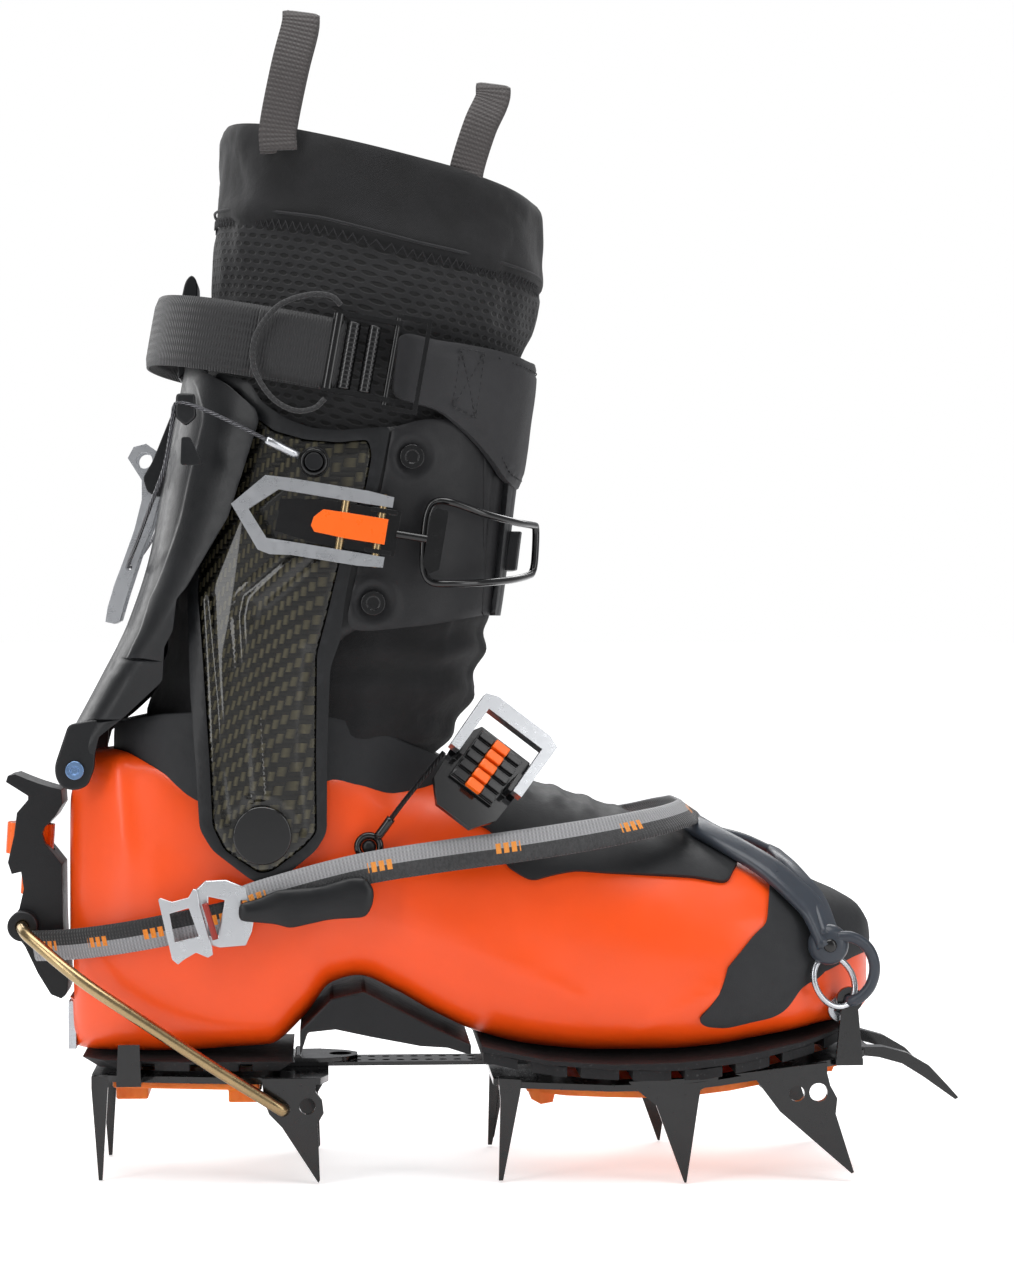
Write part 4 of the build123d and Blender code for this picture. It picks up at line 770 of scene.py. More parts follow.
def oval(centre_x, half_length, half_width, count):
    power = 2 / 2.4
    angles = [2 * math.pi * i / count for i in range(count)]
    return [(centre_x + signed_power(math.cos(t), power) * half_length,
             signed_power(math.sin(t), power) * half_width) for t in angles]


def box(low_a, high_a, low_b, high_b):
    return [(low_a, low_b), (high_a, low_b), (high_a, high_b), (low_a, high_b)]


def prism(name, outline, low, high, axis="y"):
    """Outline in X, Z pushed along Y, or in X, Y pushed along Z."""
    if axis == "y":
        verts = [(x, level, z) for level in (low, high) for x, z in outline]
    else:
        verts = [(x, y, level) for level in (low, high) for x, y in outline]
    total = len(outline)
    faces = [tuple(range(total)), tuple(range(2 * total - 1, total - 1, -1))]
    faces += [(i, (i + 1) % total, total + (i + 1) % total, total + i) for i in range(total)]
    return solid(name, verts, faces)


def dome(name, x, z, radius, base, height, side):
    """Button standing out along Y from |Y| = base."""
    count, rings = 40, 10
    verts = []
    for j in range(rings):
        rise = j / rings * math.pi / 2
        ring, level = radius * math.cos(rise) ** 0.6, height * math.sin(rise)
        for i in range(count):
            t = 2 * math.pi * i / count
            verts.append((x + ring * math.cos(t), side * (base + level), z + ring * math.sin(t)))
    verts.append((x, side * (base + height), z))
    faces = loft_faces(rings, count)
    last = (rings - 1) * count
    faces += [(last + i, last + (i + 1) % count, rings * count) for i in range(count)]
    faces.append(tuple(range(count)))
    return solid(name, verts, faces)


# ------------------------------------------------------------------ base surfaces
# lower shell sections: x, bottom z, top z, near half width, far half width,
# squareness of the upper half, inward taper of the upper half
SHELL = [
    (0.3, 48, 141, 9, 9, 5, 0.10), (2.5, 46.8, 151, 18, 18, 5, 0.10),
    (8, 46, 157.5, 26.5, 26, 6, 0.12), (20, 45.6, 159, 34, 33.5, 6.5, 0.10),
    (34, 45.6, 157, 37.5, 37, 6.5, 0.06), (48, 46, 149.5, 39.5, 39, 6.5, 0.01),
    (61, 47, 143.5, 41.2, 40.6, 6.5, -0.02), (75, 48, 142.5, 42, 41.2, 6.5, -0.02),
    (88, 58.5, 148, 42.4, 41.4, 6.5, 0.0), (98, 71, 155, 42.8, 41.6, 6.5, 0.03),
    (108, 73.6, 154, 43.4, 42, 5.5, 0.08), (122, 68, 150.5, 44.6, 42.6, 4, 0.14),
    (136, 60, 150, 46, 43.4, 3.0, 0.16), (152, 52.7, 148.5, 47.8, 44.4, 2.5, 0.12),
    (172, 47.8, 144.5, 50, 46, 2.3, 0.05), (198, 45.7, 136.5, 52.2, 48, 2.2, 0),
    (222, 45.9, 128.5, 53, 49.5, 2.15, 0), (240, 47.2, 122.5, 52, 50, 2.15, 0),
    (256, 49.8, 118.5, 48.8, 49, 2.2, 0), (270, 52, 112, 43.8, 46.5, 2.3, 0),
    (282, 54.5, 106, 36.8, 41.5, 2.4, 0), (291, 56, 102, 29, 34, 2.6, 0),
    (297, 57.4, 98, 21, 26, 2.8, 0), (301.3, 60, 91, 10, 14, 3, 0)]
LOWER_SQUARENESS = 4.0
# crease lines moulded in the shell's sides: x, z
CREASES = [[(17, 158), (20, 156), (23, 124), (26, 118), (47, 106)], [(128, 96), (190, 68)],
           [(215, 60), (242, 72)], [(30, 46), (56, 46), (66, 41)]]
CREASE_REACH = 9
# columns of cuff and liner: z, centre x, half length, half width
CUFF = [(96, 73, 66, 44.6), (150, 83, 62, 45.2), (210, 96.5, 60.5, 47.8),
        (256, 102.2, 60.6, 50.4), (316, 111, 60, 53)]
LINER_COLUMN = [(128, 79, 50, 30), (150, 80, 55, 34.5), (176, 90, 59.5, 39.5),
                (210, 97.5, 60.0, 43.9), (256, 102.2, 60.0, 48.0), (296, 108.8, 60.0, 50.2),
                (316, 112.8, 61.0, 51.2), (345, 116.0, 62, 51.2), (395, 119.5, 62, 50)]
CUFF_SQUARENESS = 2.7
LINER_SQUARENESS = 2.4
CUFF_RADIUS = 58.0        # millimetres of arc per radian round the cuff
MM_PER_DEGREE = 0.62      # the same for degrees round the lower shell


def shell_pt(x, angle, off=0.0, shift=0.0):
    """Angle runs from +Y over the top; off grows the section, shift moves the point along X."""
    bottom, top, near, far, power, taper = (table(SHELL, x, c) for c in range(1, 7))
    bottom, top, near, far = bottom - off, top + off, near + off, far + off
    middle = bottom + 0.42 * (top - bottom)
    cosine, sine = math.cos(angle), math.sin(angle)
    width = far if cosine > 0 else near
    if sine > 0:
        height = top - middle
        z = signed_power(sine, 2 / power) * height
        width *= 1 - taper * z / height
    else:
        power = LOWER_SQUARENESS
        height = middle - bottom
        z = signed_power(sine, 2 / power) * height
        width *= 1 - 0.10 * (abs(z) / height) ** 2
    return x + shift, signed_power(cosine, 2 / power) * width, middle + z


def crease_height(x, y, z):
    if abs(y) < 22:
        return 0.0
    height = 0.0
    for line in CREASES:
        for start, end in zip(line[:-1], line[1:]):
            gap = segment_distance(x, z, start, end)
            if gap < CREASE_REACH:
                side = ((x - start[0]) * (end[1] - start[1])
                        - (z - start[1]) * (end[0] - start[0]))
                fall = 1.2 if side > 0 else 3.2
                height = max(height, (1 - gap / CREASE_REACH) ** fall)
    return height * 1.5


def shell_solid(name, off, x_start, x_end, steps, count, creased=False):
    verts = []
    for i in range(steps + 1):
        for j in range(count):
            station = x_start + (x_end - x_start) * i / steps
            x, y, z = shell_pt(station, 2 * math.pi * (j + 0.5) / count, off)
            if creased:
                y += math.copysign(crease_height(x, y, z), y)
            verts.append((x, y, z))
    return loft(name, verts, count)


def angle_of(x, z, side):
    """Degrees round the shell, grown by 1 mm, at height z on one side."""
    low, high = (0.0, math.pi / 2) if z > shell_pt(x, 0.0, 1.0)[2] else (-math.pi / 2, 0.0)
    for _ in range(22):
        middle = (low + high) / 2
        if shell_pt(x, middle, 1.0)[2] < z:
            low = middle
        else:
            high = middle
    angle = math.degrees((low + high) / 2)
    return angle if side > 0 else 180 - angle


def shell_skin(name, edge, closing_far, closing_near, inner, outer, step, relief=None):
    """Skin over the top of the shell, between heights inner and outer.

    edge: x, z on both sides; the closing points, x and degrees, join the two edges.
    """
    near, far = ([(x, angle_of(x, z, side)) for x, z in edge] for side in (-1, 1))
    outline = near + closing_near + list(reversed(far)) + closing_far

    def face(base, raised):
        def point(x, arc):
            degrees = arc / MM_PER_DEGREE
            off = base + (relief(x, degrees) if relief and raised else 0.0)
            tip = 0.0 if x < 294 else off * min((x - 294) / 6.0, 1.0)
            return shell_pt(min(x, 301.25), math.radians(degrees), off, tip)
        return point
    outline = rounded([(x, degrees * MM_PER_DEGREE) for x, degrees in outline], 3.0)
    return thick_patch(name, outline, step, face(outer, True), face(inner, False))


def column_pt(rows, squareness, angle, z, off):
    """Angle: 0 front, pi rear; positive is the near side."""
    centre, length, width = (table(rows, z, c) for c in (1, 2, 3))
    return (centre + signed_power(math.cos(angle), 2 / squareness) * (length + off),
            -signed_power(math.sin(angle), 2 / squareness) * (width + off), z)


def cuff_pt(angle, z, off):
    return column_pt(CUFF, CUFF_SQUARENESS, angle, z, off)


def liner_pt(angle, z, off=0):
    return column_pt(LINER_COLUMN, LINER_SQUARENESS, angle, z, off)


def cuff_angle(x, z, off=2.0):
    centre, length = table(CUFF, z, 1), table(CUFF, z, 2)
    ratio = max(-1.0, min(1.0, (x - centre) / (length + off)))
    return math.acos(signed_power(ratio, CUFF_SQUARENESS / 2))


def cuff_arc(x, z):
    return cuff_angle(x, z, 3.2) * CUFF_RADIUS


def cuff_skin(name, outline, inner, outer, side, step, relief=None, holes=(), corner=2.5):
    """Skin on one side of the cuff; outline in X, Z."""
    def point(x, z, off):
        px, py, pz = cuff_pt(cuff_angle(x, z, off), z, off)
        return (px, side * abs(py), pz)

    return thick_patch(name, rounded(outline, corner), step,
                       lambda x, z: point(x, z, outer + (relief(x, z) if relief else 0.0)),
                       lambda x, z: point(x, z, inner), holes,
                       lambda x, z: (cuff_angle(x, z) * CUFF_RADIUS, z))


def wrap_skin(name, outline, inner, outer, step, relief, corner=2.5):
    """Skin across the cuff's front; outline in arc length (0 front, + near side) and Z."""
    return thick_patch(name, rounded(outline, corner), step,
                       lambda arc, z: cuff_pt(arc / CUFF_RADIUS, z, outer + relief(arc, z)),
                       lambda arc, z: cuff_pt(arc / CUFF_RADIUS, z, inner))


# ------------------------------------------------------------------ lower shell
ANKLE_X = 80              # centre of the ankle opening and the collar


def lower_shell():
    """Orange shell, hollowed, with its openings and slots cut through."""
    shell = shell_solid("lower_shell_body", 0.0, 0.3, 301.3, 150, 120, creased=True)
    carve(shell,
          shell_solid("hollow", -3.0, 7, 293, 96, 72),
          prism("ankle_opening", oval(ANKLE_X, 65.5, 39.0, 72), 133, 200, "z"),
          prism("heel_notch", [(-8, 65.6), (7.5, 65.6), (8.2, 68), (8.2, 79), (7.5, 81.5),
                               (-8, 81.5)], -17, 17),
          prism("low_heel_notch", box(-8, 3.1, 45.0, 65.1), -14.1, 14.1),
          prism("side_slot", [(16, 59.8), (24, 60.2), (24, 64.4), (16, 64.0)], -60, -31.6),
          prism("side_nick", [(4, 141), (9.5, 141.5), (7.5, 147)], -60, -25),
          prism("instep_opening", box(126, 196, -15, 15), 112, 175, "z"))
    bevel(shell, 0.7, 2, 50)
    bake(shell)
    sharpen(shell, 55)
    place(shell, ORANGE, "root", "lower_shell")


lower_shell()
cad_part("arch_shank", SATIN, edge=0.8)
cad_part("heel_outsole", SOLE, edge=0.7)
cad_part("forefoot_outsole", SOLE, edge=0.6)
cad_part("toe_binding_sockets", STEEL, edge=0.4)
cad_part("heel_binding_plate", STEEL, edge=0.5)

# lower edge of the toe rand: x, z
RAND_EDGE = [(258, 95.2), (253.2, 91.8), (248.4, 86.2), (240.4, 72.6), (231.9, 60.9),
             (234.5, 58.0), (242.8, 57.2), (259.7, 60.4), (264.5, 62.8), (270.1, 70.6),
             (274.2, 73.2), (280.7, 76.3), (290, 79.6), (299, 81)]
rand = shell_skin("toe_rand_skin", RAND_EDGE,
                  [(262, 60), (266, 72), (276, 78), (280, 90), (276, 102), (266, 108), (262, 120)],
                  [(301.1, 150), (301.1, 30)], -0.6, 1.35, 2.0)
bevel(rand, 0.8, 3, 45)
place(rand, RAND, "root", "toe_rand")

# side edge of the instep tongue: x, z
TONGUE_EDGE = [(139, 149), (146.4, 131), (153.8, 131.5), (159, 127), (161.6, 117.5),
               (165, 114.8), (171.3, 111.3), (178, 113.4), (187.7, 115.2), (200.7, 114.1),
               (212.7, 113.4), (232.2, 112.0), (244.4, 109.8)]


def tongue_ridges(x, degrees):
    """Cross ridges 12 mm apart, fading towards the sides."""
    if not (170 < x < 236 and 62 < degrees < 118):
        return 0.0
    ridge = 0.9 * max(0.0, math.sin((x - 156) * 2 * math.pi / 12.0)) ** 0.7
    return ridge * min(1.0, (28 - abs(degrees - 90)) / 6.0)


tongue = shell_skin("instep_tongue_skin", TONGUE_EDGE, [], [(250, 118), (252, 90), (250, 62)],
                    -0.4, 1.7, 1.8, tongue_ridges)
bevel(tongue, 0.7, 2, 45)
place(tongue, TONGUE, "root", "instep_tongue")

COLLAR_TOP = [(12, 168), (33.6, 172.2), (48.2, 173.1), (96.4, 171.6), (107.1, 169.4),
              (117.8, 165.2), (130.7, 159.7), (141, 155.0)]     # x, z


def ankle_collar():
    """Rubber ring standing in the ankle opening."""
    count, rows, bottom = 140, 14, 138
    verts = []
    for j in range(rows + 1):
        v = j / rows
        lean = -1.2 * v * v + 0.25 * math.sin(v * 9)
        tops = oval(ANKLE_X, 64, 1, count)
        ring = oval(ANKLE_X, 63.4 + lean, 38.6 + lean, count)
        for (top_x, _), (x, y) in zip(tops, ring):
            verts.append((x, y, bottom + (line_at(COLLAR_TOP, top_x) - bottom) * v))
    collar = solid("ankle_collar_ring", verts, loft_faces(rows + 1, count))
    thicken(collar, 0.0019, 0)
    bevel(collar, 0.7, 3, 60)
    place(collar, RAND, "root", "ankle_collar")


ankle_collar()

# ------------------------------------------------------------------ liner
LINER_BOTTOM = 142
SEAM = [(50, 355.5), (56.3, 354.5), (94.8, 348.3), (130.1, 339.4), (172.8, 331.3),
        (182, 329.5)]                                           # x, z
LINER_TOP = [(50, 392.4), (58.3, 390.9), (70.8, 388.7), (94.9, 383.1), (141.3, 372.4),
             (178.2, 361.6), (184, 358.5)]                      # x, z


def sleeve_folds():
    """Swell the sleeve between the places that hold it, so that it buckles into folds.

    Returns the grid size and how far each point moved out.
    """
    count, rows = 96, 56
    scale, frames = 10, 22
    verts = []
    for j in range(rows + 1):
        for i in range(count):
            angle = 2 * math.pi * i / count
            top = line_at(LINER_TOP, liner_pt(angle, 370)[0])
            z = LINER_BOTTOM + (top - LINER_BOTTOM) * j / rows
            rough = 0.15 * noise.noise(Vector((i * 0.31, j * 0.27, 2.0)))
            verts.append(liner_pt(angle, z, rough))
    sleeve = make("sleeve_sim", verts, loft_faces(rows + 1, count))
    sleeve.data.transform(Matrix.Scale(scale, 4))
    group = sleeve.vertex_groups.new(name="held")
    rest = [v.co.copy() for v in sleeve.data.vertices]
    for k, (x, y, z) in enumerate(verts):
        row = k // count
        held = 1.0 if z < 158 or 214 < z < 312 or row == rows else 0.0
        if row == rows - 1:
            held = 0.4
        if held:
            group.add([k], held, "REPLACE")
    cloth = sleeve.modifiers.new("cloth", "CLOTH")
    fabric = cloth.settings
    fabric.quality = 6
    fabric.mass = 0.25
    fabric.tension_stiffness = fabric.compression_stiffness = fabric.shear_stiffness = 18
    fabric.bending_stiffness = 0.4
    fabric.tension_damping = fabric.compression_damping = 12
    fabric.shrink_min = -0.05
    fabric.use_pressure = True
    fabric.uniform_pressure_force = 0.6
    fabric.vertex_group_mass = "held"
    fabric.effector_weights.gravity = 0
    cloth.collision_settings.use_self_collision = False
    cloth.point_cache.frame_start, cloth.point_cache.frame_end = 1, frames
    scene = bpy.context.scene
    for number in range(1, frames + 1):
        scene.frame_set(number)
        bpy.context.view_layer.update()
    settled = sleeve.evaluated_get(bpy.context.evaluated_depsgraph_get())
    moves = []
    for k, vertex in enumerate(settled.data.vertices):
        angle = 2 * math.pi * (k % count) / count
        outward = Vector((math.cos(angle), -math.sin(angle), 0))
        moves.append(max(-2.2, min(1.8, (vertex.co - rest[k]).dot(outward) * 1000 / scale)))
    scene.frame_set(1)
    bpy.data.objects.remove(sleeve, do_unlink=True)
    return count, rows, moves


FOLDS = sleeve_folds()


def fold_at(across, up):
    """Fold height at fractions 0..1 round and up the sleeve."""
    if FOLDS is None:
        return 0.0
    count, rows, moves = FOLDS
    column, row = across * count, up * rows
    i, j = int(column), min(int(row), rows - 1)
    column, row = column - i, row - j

    def at(p, q):
        return moves[q * count + p % count]
    return ((at(i, j) * (1 - column) + at(i + 1, j) * column) * (1 - row)
            + (at(i, j + 1) * (1 - column) + at(i + 1, j + 1) * column) * row)


def liner_height(i, j, count, rows, angle, z, above_seam, below_top):
    cosine = math.cos(angle)
    off = fold_at(i / count, j / rows) * (0.5 if z < 230 else 0.3)
    spot = Vector((cosine * 1.6, math.sin(angle) * 1.6, z * 0.03))
    off += 0.9 * noise.noise(spot * 1.2)
    if z < 215:      # creases round the ankle, deepest in front
        zone = clamp((215 - z) / 20) * clamp((z - 145) / 12)
        wave = math.sin(z * 0.42 + 2.2 * cosine + 3 * noise.noise(spot))
        off += zone * (1.1 * wave * (0.35 + max(0.0, cosine) ** 0.7))
    if z > 296:
        off += 0.55 * math.sin(z * 0.11 + 3 * math.cos(angle * 2)) + 0.7 * noise.noise(spot * 2.4)
    off -= bell(above_seam, 1.3)                    # seam groove
    if above_seam > 0:
        off += 0.9 * bell(above_seam - 5, 5.5)
    off -= 1.6 * math.exp(-below_top / 1.6)         # rolled top edge
    off -= 1.5 * bell(z - 302, 9.0)                 # nipped by the power strap
    return off


def liner_sleeve():
    count, rows = 200, 150
    verts, faces, uvs = [], [], []
    for j in range(rows + 1):
        for i in range(count + 1):
            angle = 2 * math.pi * i / count
            x = liner_pt(angle, 370)[0]
            top = line_at(LINER_TOP, x)
            z = LINER_BOTTOM + (top - LINER_BOTTOM) * (j / rows)
            above = z - line_at(SEAM, x)
            off = liner_height(i, j, count, rows, angle, z, above, top - z)
            verts.append(liner_pt(angle, min(z, 395), off))
            uvs.append((angle * 56.0, above))
    width = count + 1
    for j in range(rows):
        for i in range(count):
            k = j * width + i
            faces.append((k, k + 1, k + 1 + width, k + width))
    liner = solid("liner_sleeve", verts, faces, uvs, weld=True)
    thicken(liner, 0.005, -1)
    bevel(liner, 1.6, 4, 60)
    place(liner, LINER,
          ("root", "cuff", to_scene((80, 0, 152)), to_scene((95, 0, 212))), "liner_shaft")


def liner_foot():
    foot = shell_solid("liner_foot_bootie", -4.8, 14, 288, 70, 60)
    carve(foot, shell_solid("hollow", -10.5, 24, 280, 60, 48),
          prism("ankle_opening", oval(ANKLE_X, 50, 28, 60), 100, 200, "z"),
          prism("upper_part", box(-10, 400, -80, 80), 141.5, 260, "z"))
    place(foot, LINER, "root", "liner_foot")


def seam_pt(angle, rise, off):
    return liner_pt(angle, line_at(SEAM, liner_pt(angle, 350)[0]) + rise, off)


def liner_seam():
    """Zigzag thread down both sides of the seam, and a cord just above it."""
    count = 118
    for side, tag in ((1, "a"), (-1, "b")):
        path = [seam_pt(math.radians(4 + 172 * i / (count - 1)) * side,
                        1.5 if i % 2 else -1.5, 0.35) for i in range(count)]
        thread = tube("seam_zigzag_" + tag, path, 0.32, sides=5, smooth=False)
        place(thread, THREAD, "cuff")
    path = [seam_pt(2 * math.pi * i / 120, 4.4, 0.75) for i in range(120)]
    cord = tube("seam_cord", path, 0.55, sides=6, closed=True, smooth=False)
    place(cord, THREAD, "cuff")


def pull_loop(name, base, tip, width, gap, replaces=None):
    """Tape loop whose two legs stand gap apart."""
    x, y, z = base
    tip_x, tip_y, tip_z = tip
    middle_x, middle_z = x + (tip_x - x) * 0.5, z + (tip_z - z) * 0.5
    half = gap / 2
    points = [
        (x, y - half, z - 9), (x, y - half, z), (middle_x, y - half - 0.5, middle_z),
        (tip_x - 0.4, tip_y - gap * 0.44, tip_z - 6), (tip_x, tip_y - gap * 0.22, tip_z - 1.2),
        (tip_x, tip_y + gap * 0.22, tip_z - 1.2), (tip_x - 0.4, tip_y + gap * 0.44, tip_z - 6),
        (middle_x, y + half + 0.4, middle_z), (x, y + half, z), (x, y + half, z - 9)]
    tape = ribbon(name, points, width, 1.5, (1, 0.0, -0.12), 1.2)
    place(tape, WEB_LOOP, "cuff", replaces)


liner_sleeve()
liner_foot()
liner_seam()
pull_loop("pull_loop_rear", (79, -46.0, 386.0), (87.2, -44.5, 427.8), 13.6, 8.0, "pull_loops")
pull_loop("pull_loop_front", (147.5, -40.5, 371.0), (157.5, -38.5, 403.6), 12.6, 7.0)

# ------------------------------------------------------------------ cuff
# outlines and lines on the cuff's sides: x, z
RIM_OUTER = [
    (56.0, 297.4), (60.8, 295.9), (68.7, 293), (73, 285.8), (81, 280), (90.7, 276.3),
    (100.5, 275.4), (119.4, 276.9), (117.2, 264.9), (115, 254.8), (105.6, 227.5), (103, 214.1),
    (101.2, 199.6), (97.6, 189.1), (96.5, 157.1), (96.4, 129.5), (92.5, 123), (78.3, 111.4),
    (73.3, 110.4), (68.6, 112.6), (54.8, 123.2), (50.2, 130.8), (48.7, 155.1), (46.6, 181.5),
    (45.5, 214.8), (46.2, 226), (52.6, 238), (54.0, 257.5), (55.0, 286.4)]
RIM_INNER = [
    (59.0, 292.4), (60.8, 291.9), (65.8, 288.7), (69.4, 281.5), (77.4, 275.3), (88.6, 272.1),
    (100.5, 271.1), (111.4, 272.2), (112.8, 266.7), (110.6, 254.8), (101.6, 229.7),
    (96.5, 208.3), (92.9, 194.5), (92.5, 157.1), (92.8, 129.5), (88.5, 124.5), (76.5, 115.4),
    (71.8, 114.7), (59.2, 123.2), (54.9, 131.9), (53.8, 155.1), (51.3, 192.4), (49.4, 216.6),
    (49.8, 226), (55.4, 238), (57.0, 257.5), (58.0, 286.4)]
BASE = RIM_OUTER[:8] + [(140, 278), (156, 278), (156, 209.5), (135.5, 206.8), (112.1, 204.2),
                        (106.6, 203.2), (101.2, 199.6)] + RIM_OUTER[13:]
FLAP = [(120.1, 276.6), (131.8, 279.8), (146, 279.8), (156, 279.8), (156, 209), (152.3, 208.2),
        (135.5, 205.2), (112.1, 202.8), (105.6, 203.2), (103.6, 207.1), (107.9, 227.6),
        (116.2, 254.1), (118.2, 265.1)]
CHANNEL_FRONT = [(94, 231), (73.5, 213.5), (71.9, 204.0), (73.0, 176.4), (75.0, 143.0)]
CHANNEL_REAR = [(82.5, 230.1), (66.1, 215.6), (64.7, 208.3), (66.1, 179.7), (68.4, 143.0)]
GROOVES = [[(89.2, 196.0), (87.1, 176.4), (86.3, 152.4), (87.7, 130.0)],
           [(53.4, 214.6), (56.6, 176.4), (57.9, 152.5), (60.2, 134.0)]]
FLAP_RIVETS = [(127.3, 266.0), (113.2, 213.0)]
PIVOT_X, PIVOT_Z = 73, 128.6


def carbon_relief(x, z):
    height = -0.5 * math.exp(-outline_distance(x, z, RIM_INNER) / 1.5)
    if z < 250:      # raised band between the two channels
        front = outline_distance(x, z, CHANNEL_FRONT, False)
        rear = outline_distance(x, z, CHANNEL_REAR, False)
        height += 1.1 * clamp((12 - front - rear) / 6.0)
        height -= bell(min(front, rear), 1.1)
    for line in GROOVES:
        height -= 0.8 * bell(outline_distance(x, z, line, False), 1.0)
    if math.hypot(x - PIVOT_X, z - PIVOT_Z) < 13:
        height = height * 0.2 - 0.2
    return height


def flap_relief(x, z):
    """Rings round the rivets and a softened edge."""
    height = 0.0
    for rivet_x, rivet_z in FLAP_RIVETS:
        gap = math.hypot(x - rivet_x, z - rivet_z)
        height += 0.9 * bell(gap - 8.2, 1.6) - 0.7 * math.exp(-(gap / 5.0) ** 4)
    return height - 0.5 * math.exp(-(outline_distance(x, z, FLAP) / 1.0))


def cuff_side(side, tag):
    near = side < 0
    rim = cuff_skin("cuff_rim_" + tag, RIM_OUTER, 1.4, 3.4, side, 2.0,
                    holes=[rounded(RIM_INNER, 2.0)])
    bevel(rim, 0.7, 3, 45)
    place(rim, SATIN, "cuff", "cuff_frame" if near else None)
    base = cuff_skin("cuff_base_" + tag, BASE, 0.4, 1.45, side, 3.2)
    place(base, SATIN, "cuff")
    plate = cuff_skin("carbon_plate_" + tag, RIM_INNER, 1.5, 2.9, side, 1.1, carbon_relief)
    place(plate, CARBON, "cuff", "carbon_side_plates" if near else None)
    flap = cuff_skin("cuff_flap_" + tag, FLAP, 1.5, 3.2, side, 1.7, flap_relief, corner=3.0)
    bevel(flap, 0.5, 2, 50)
    place(flap, FLAP_BLACK, "cuff", "cuff_flaps" if near else None)


for side, tag in SIDES:
    cuff_side(side, tag)

# outlines across the front: arc, z
FRONT_WRAP = [(-cuff_arc(154, 279), 279.8), (cuff_arc(154, 279), 279.8),
              (cuff_arc(154, 243), 243), (cuff_arc(154, 209), 208.6),
              (-cuff_arc(154, 209), 208.6), (-cuff_arc(154, 243), 243)]
SHIN_PLATE = [(-24, 282.6), (24, 282.6), (25.5, 262), (24, 240), (21.5, 208.4),
              (-21.5, 208.4), (-24, 240), (-25.5, 262)]
wrap = wrap_skin("cuff_front_wrap", FRONT_WRAP, 1.5, 3.2, 1.9, lambda arc, z:
                 -0.8 * bell(abs(arc) - 34, 1.1) + 0.25 * bell(abs(arc) - 22, 4.0))
bevel(wrap, 0.5, 2, 50)
place(wrap, FLAP_BLACK, "cuff")
shin_plate = wrap_skin("shin_plate_skin", SHIN_PLATE, 3.3, 5.4, 1.9,
                       lambda arc, z: -0.5 * bell(abs(arc) - 17, 1.0))
bevel(shin_plate, 0.7, 3, 45)
place(shin_plate, SATIN, "cuff", "shin_plate")
cad_part("cuff_rivets", GLOSS, edge=0.35)
cad_part("ankle_pivot_rivets", GLOSS, edge=0.5)
for side, tag in SIDES:
    cap = dome("pivot_cap_" + tag, PIVOT_X, PIVOT_Z, 10.4, 47.6, 2.8, side)
    place(cap, SATIN, "root")

# ------------------------------------------------------------------ rear spine
# z, rear x, half width, depth of the rounded back
SPINE = [(157, -3.6, 33.8, 15), (186, 12, 40, 20), (206, 22, 48, 26), (233, 30.5, 55.2, 40),
         (260, 35.0, 58.4, 58), (303, 43.4, 60.4, 60), (318, 45.2, 61, 60)]
# front edge of the wings: z, x
SPINE_FRONT = [(157.2, 11.3), (164, 13), (171, 22), (184.5, 36.4), (197, 37.4), (203, 40.6),
               (214.6, 42.1), (218.7, 45.7), (244.2, 60.9), (278.7, 72), (282.7, 71),
               (291.9, 60.9), (298.4, 50.7), (303, 47)]
SPINE_SQUARENESS = 2.6


def spine_pt(z, across, inset):
    """across runs from -1 (one wing's edge) over 0 (mid rear) to 1."""
    rear, width, depth = (table(SPINE, z, c) for c in (1, 2, 3))
    rear, width, depth = rear + inset, width - inset, depth - inset
    front = max(line_at(SPINE_FRONT, z), rear + 1)
    reach = abs(across)
    if front >= rear + depth:
        # the rounded back takes 0.7 of the way and a straight wing the rest
        back = 0.7
        if reach > back:
            along = (reach - back) / (1 - back)
            return (rear + depth + (front - rear - depth) * along,
                    math.copysign(width, across), z)
        angle = reach / back * (math.pi / 2)
    else:
        cosine = clamp(1 - (front - rear) / depth)
        angle = reach * math.acos(cosine ** (SPINE_SQUARENESS / 2))
    power = 2 / SPINE_SQUARENESS
    return (rear + depth * (1 - abs(math.cos(angle)) ** power),
            math.copysign(abs(math.sin(angle)) ** power * width, across), z)


def spine_solid():
    rows, columns = 110, 110
    bottom, top, wall = 157.2, 303, 1.5
    verts, faces = [], []
    for inset in (0.0, wall):
        for j in range(rows + 1):
            level = bottom + (top - bottom) * j / rows
            for i in range(columns + 1):
                across = -1 + 2 * i / columns
                x, y, z = spine_pt(level, across, inset)
                if not inset and 186 < z < 294:
                    # recessed panel on each side of the back
                    reach = abs(across)
                    edge = min(z - 186, 294 - z, (reach - 0.26) * 60, (0.62 - reach) * 60)
                    recess = -0.9 * clamp(edge / 2.0)
                    x -= recess * 0.8
                    y += math.copysign(recess * 0.5, y)
                verts.append((x, y, z))
    width = columns + 1
    inner = (rows + 1) * width
    for j in range(rows):
        for i in range(columns):
            k = j * width + i
            faces.append((k, k + 1, k + 1 + width, k + width))
            faces.append((inner + k, inner + k + width, inner + k + 1 + width, inner + k + 1))
    for j in range(rows):
        k = j * width
        faces.append((k, k + width, inner + k + width, inner + k))
        k += columns
        faces.append((k, inner + k, inner + k + width, k + width))
    for i in range(columns):
        faces.append((i, inner + i, inner + i + 1, i + 1))
        k = rows * width + i
        faces.append((k, k + 1, inner + k + 1, inner + k))
    return solid("rear_spine_body", verts, faces)


def rear_spine():
    spine = spine_solid()
    carve(spine, prism("lever_opening", [(15, 246), (47, 246), (47, 277), (20, 277)],
                       -10.2, 10.2))
    bevel(spine, 0.8, 3, 50)
    bake(spine)
    sharpen(spine, 50)
    place(spine, SATIN, "spine", "rear_spine")


